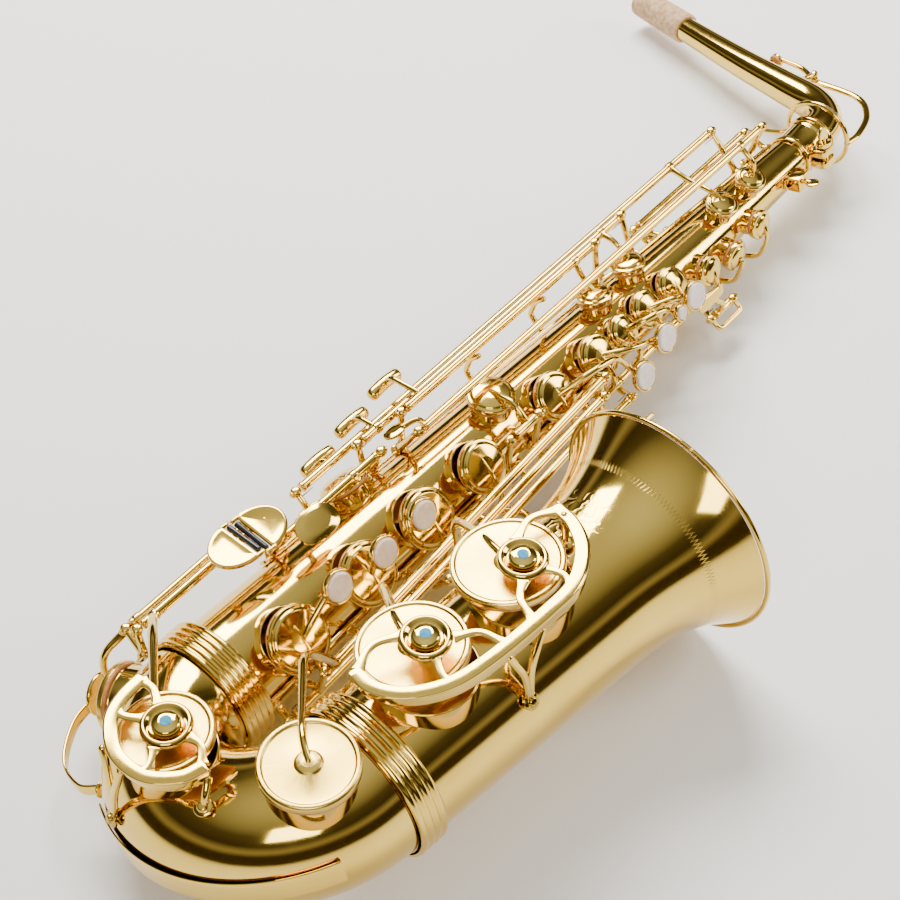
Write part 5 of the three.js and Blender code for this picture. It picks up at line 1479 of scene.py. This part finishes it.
def stood(thing, right, back, spot):
    """Links a lamp or camera into the scene, facing away from "back"."""
    up = unit(np.cross(back, right))
    turn = np.eye(4)
    turn[:3] = np.stack([np.cross(up, back), up, back, spot], -1)
    thing.matrix_world = Matrix(turn.tolist())
    bpy.context.scene.collection.objects.link(thing)


def make_studio(studio):
    """A pale floor, air that is dark low down and bright above, three lamps and the camera."""
    s = Shader("Studio floor")
    s.set(Base_Color=rgba(studio.floor_colour), Roughness=0.75)
    bpy.ops.mesh.primitive_plane_add(size=14, location=(0, 0, -0.0005))
    floor = bpy.context.object
    floor.name = "studio_floor"
    floor.data.materials.append(s.owner)
    air = Shader("Studio air", "worlds", "Background")
    height = air.node("ShaderNodeSeparateXYZ", None,
                      {0: air.node("ShaderNodeTexCoord", out="Generated")}, "Z")
    colour = air.node("ShaderNodeValToRGB", {"stops": [
        (0, (0.05, 0.035, 0.02)), (0.2, (0.05, 0.035, 0.02)), (0.3, (0.42, 0.38, 0.3)),
        (0.42, (0.05, 0.04, 0.03)),
        (0.6, (0.10, 0.085, 0.06)), (0.8, (0.5, 0.49, 0.46)), (1, (0.95, 0.95, 0.93))]}, {0: height})
    air.set(Color=colour, Strength=studio.air)
    bpy.context.scene.world = air.owner
    for name, spot, size, power in (
            ("studio_key", (-0.9, 0.7, 1.5), (1.3, 0.8), studio.key),
            ("studio_window", (1.2, 1.3, 1.0), (0.5, 1.2), studio.window),
            ("studio_fill", (0.9, -1.4, 1.2), (0.9, 0.5), studio.fill)):
        data = bpy.data.lights.new(name, "AREA")
        data.shape, data.size, data.size_y, data.energy = "RECTANGLE", *size, power
        data.color = (1.0, 0.97, 0.93)
        back = unit(np.array(spot) - (0, 0, 0.05))
        stood(bpy.data.objects.new(name, data), np.cross((0, 0, 1), back), back, spot)
    data = bpy.data.cameras.new("studio_camera")
    data.lens, data.sensor_width = studio.lens, 36
    data.clip_start = 0.01
    camera = bpy.data.objects.new("studio_camera", data)
    stood(camera, LAID @ CAMERA_RIGHT, LAID @ CAMERA_BACK, LAID @ CAMERA_PLACE / 1000 + ORIGIN)
    bpy.context.scene.camera = camera


# ---- Add-on ---------------------------------------------------------------------------------------
class SaxophoneSizes(bpy.types.PropertyGroup):
    """Sizes of the instrument that a user would change."""
    hinge_tube: FloatProperty(name="Hinge tube", description="Diameter of the tubes that the keys turn on",
                              default=0.0048, min=0.003, max=0.006,
                              unit="LENGTH", subtype="DISTANCE", precision=4)


class SaxophoneFinish(bpy.types.PropertyGroup):
    """Colours of the instrument's finishes."""
    brass: FloatVectorProperty(name="Brass", description="Lacquered brass where it is palest",
                               default=(0.86, 0.62, 0.13), min=0, max=1, subtype="COLOR")
    brass_deep: FloatVectorProperty(name="Deep brass", description="Lacquered brass where it is darkest",
                                    default=(0.72, 0.46, 0.06), min=0, max=1, subtype="COLOR")
    polish: FloatProperty(name="Polish",
                          description="Roughness of the polished brass", default=0.07, min=0, max=1,
                          subtype="FACTOR")
    pearl: FloatVectorProperty(name="Pearl", description="The finger buttons' pearl",
                               default=(0.92, 0.88, 0.82),
                               min=0, max=1, subtype="COLOR")
    cork: FloatVectorProperty(name="Cork", description="The neck's cork",
                              default=(0.72, 0.50, 0.29), min=0, max=1,
                              subtype="COLOR")


class SaxophoneStudio(bpy.types.PropertyGroup):
    """The floor, light and camera."""
    floor_colour: FloatVectorProperty(name="Floor", description="The floor's colour",
                                      default=(0.93, 0.92, 0.90),
                                      min=0, max=1, subtype="COLOR")
    air: FloatProperty(name="Air", description="Strength of the light from all round", default=0.9, min=0)
    key: FloatProperty(name="Key", description="The main lamp", default=84.0, min=0, unit="POWER")
    window: FloatProperty(name="Window", description="The tall lamp behind",
                          default=26.0, min=0, unit="POWER")
    fill: FloatProperty(name="Fill", description="The lamp in front", default=14.0, min=0, unit="POWER")
    lens: FloatProperty(name="Lens",
                        description="The camera's focal length in millimetres", default=75.4, min=10)


class SAX_OT_tubes(bpy.types.Operator):
    """Builds the body tube, the bow and the bell with their tone holes"""
    bl_idname = "saxophone.tubes"
    bl_label = "Tubes"

    def execute(self, context):
        make_body_tube()
        make_bow()
        make_bell()
        return {"FINISHED"}


class SAX_OT_bands(bpy.types.Operator):
    """Builds the ribbed bands and the strip that guards the bow"""
    bl_idname = "saxophone.bands"
    bl_label = "Bands"

    def execute(self, context):
        make_bands()
        return {"FINISHED"}


class SAX_OT_neck(bpy.types.Operator):
    """Builds the neck, its cork and octave key, and the clamp that holds it"""
    bl_idname = "saxophone.neck"
    bl_label = "Neck"

    def execute(self, context):
        make_neck()
        make_neck_cork()
        make_neck_octave_key()
        make_receiver()
        return {"FINISHED"}


class SAX_OT_stack_keys(bpy.types.Operator):
    """Builds the keys of the two main stacks"""
    bl_idname = "saxophone.stack_keys"
    bl_label = "Stack keys"

    def execute(self, context):
        make_stack_keys()
        return {"FINISHED"}


class SAX_OT_side_keys(bpy.types.Operator):
    """Builds the right hand's side keys"""
    bl_idname = "saxophone.side_keys"
    bl_label = "Side keys"

    def execute(self, context):
        make_side_keys()
        return {"FINISHED"}


class SAX_OT_low_keys(bpy.types.Operator):
    """Builds the little fingers' keys and the left hand's table"""
    bl_idname = "saxophone.low_keys"
    bl_label = "Low keys"

    def execute(self, context):
        make_little_finger_keys()
        make_table_keys()
        return {"FINISHED"}


class SAX_OT_high_keys(bpy.types.Operator):
    """Builds the palm keys, the front key and the octave mechanism"""
    bl_idname = "saxophone.high_keys"
    bl_label = "Palm and octave keys"

    def execute(self, context):
        make_palm_keys()
        make_octave_parts()
        return {"FINISHED"}


class SAX_OT_posts(bpy.types.Operator):
    """Builds the posts, ribs and needle springs"""
    bl_idname = "saxophone.posts"
    bl_label = "Posts"

    def execute(self, context):
        make_stack_posts()
        make_side_posts()
        make_palm_posts()
        make_octave_posts()
        make_bow_posts()
        return {"FINISHED"}


class SAX_OT_guards(bpy.types.Operator):
    """Builds the key guards and their bumpers"""
    bl_idname = "saxophone.guards"
    bl_label = "Guards"

    def execute(self, context):
        make_bell_guard()
        make_low_c_guard()
        make_low_e_flat_guard()
        return {"FINISHED"}


class SAX_OT_fittings(bpy.types.Operator):
    """Builds the thumb hook and rest, strap ring, brace and music holder socket"""
    bl_idname = "saxophone.fittings"
    bl_label = "Fittings"

    def execute(self, context):
        make_thumb_hook()
        make_strap_ring()
        make_thumb_rest()
        make_bell_brace()
        make_lyre_holder()
        return {"FINISHED"}


class SAX_OT_studio(bpy.types.Operator):
    """Builds the floor, the lights and the camera"""
    bl_idname = "saxophone.studio"
    bl_label = "Studio"

    def execute(self, context):
        make_studio(context.scene.saxophone_studio)
        return {"FINISHED"}


OPERATORS = (SAX_OT_tubes, SAX_OT_bands, SAX_OT_neck, SAX_OT_stack_keys, SAX_OT_side_keys, SAX_OT_low_keys,
             SAX_OT_high_keys, SAX_OT_posts, SAX_OT_guards, SAX_OT_fittings, SAX_OT_studio)


class SAX_PT_panel(bpy.types.Panel):
    """Shows the saxophone's sizes, finishes and pieces"""
    bl_idname = "SAX_PT_panel"
    bl_label = "Saxophone"
    bl_space_type = "VIEW_3D"
    bl_region_type = "UI"
    bl_category = "Saxophone"

    def draw(self, context):
        for group in (context.scene.saxophone_sizes, context.scene.saxophone_finish,
                      context.scene.saxophone_studio):
            for key in group.__annotations__:
                self.layout.prop(group, key)
        for operator in OPERATORS:
            self.layout.operator(operator.bl_idname)


CLASSES = (SaxophoneSizes, SaxophoneFinish, SaxophoneStudio, *OPERATORS, SAX_PT_panel)


def register():
    """Adds the classes, and their settings on the scene."""
    for cls in CLASSES:
        bpy.utils.register_class(cls)
    bpy.types.Scene.saxophone_sizes = PointerProperty(type=SaxophoneSizes)
    bpy.types.Scene.saxophone_finish = PointerProperty(type=SaxophoneFinish)
    bpy.types.Scene.saxophone_studio = PointerProperty(type=SaxophoneStudio)


def unregister():
    """Takes them away again."""
    for cls in reversed(CLASSES):
        bpy.utils.unregister_class(cls)
    del bpy.types.Scene.saxophone_sizes, bpy.types.Scene.saxophone_finish, bpy.types.Scene.saxophone_studio


def main():
    """Builds the whole model."""
    register()
    make_finishes(bpy.context.scene.saxophone_finish)
    for operator in OPERATORS:
        group, name = operator.bl_idname.split(".")
        getattr(getattr(bpy.ops, group), name)()


if __name__ == "__main__":
    main()
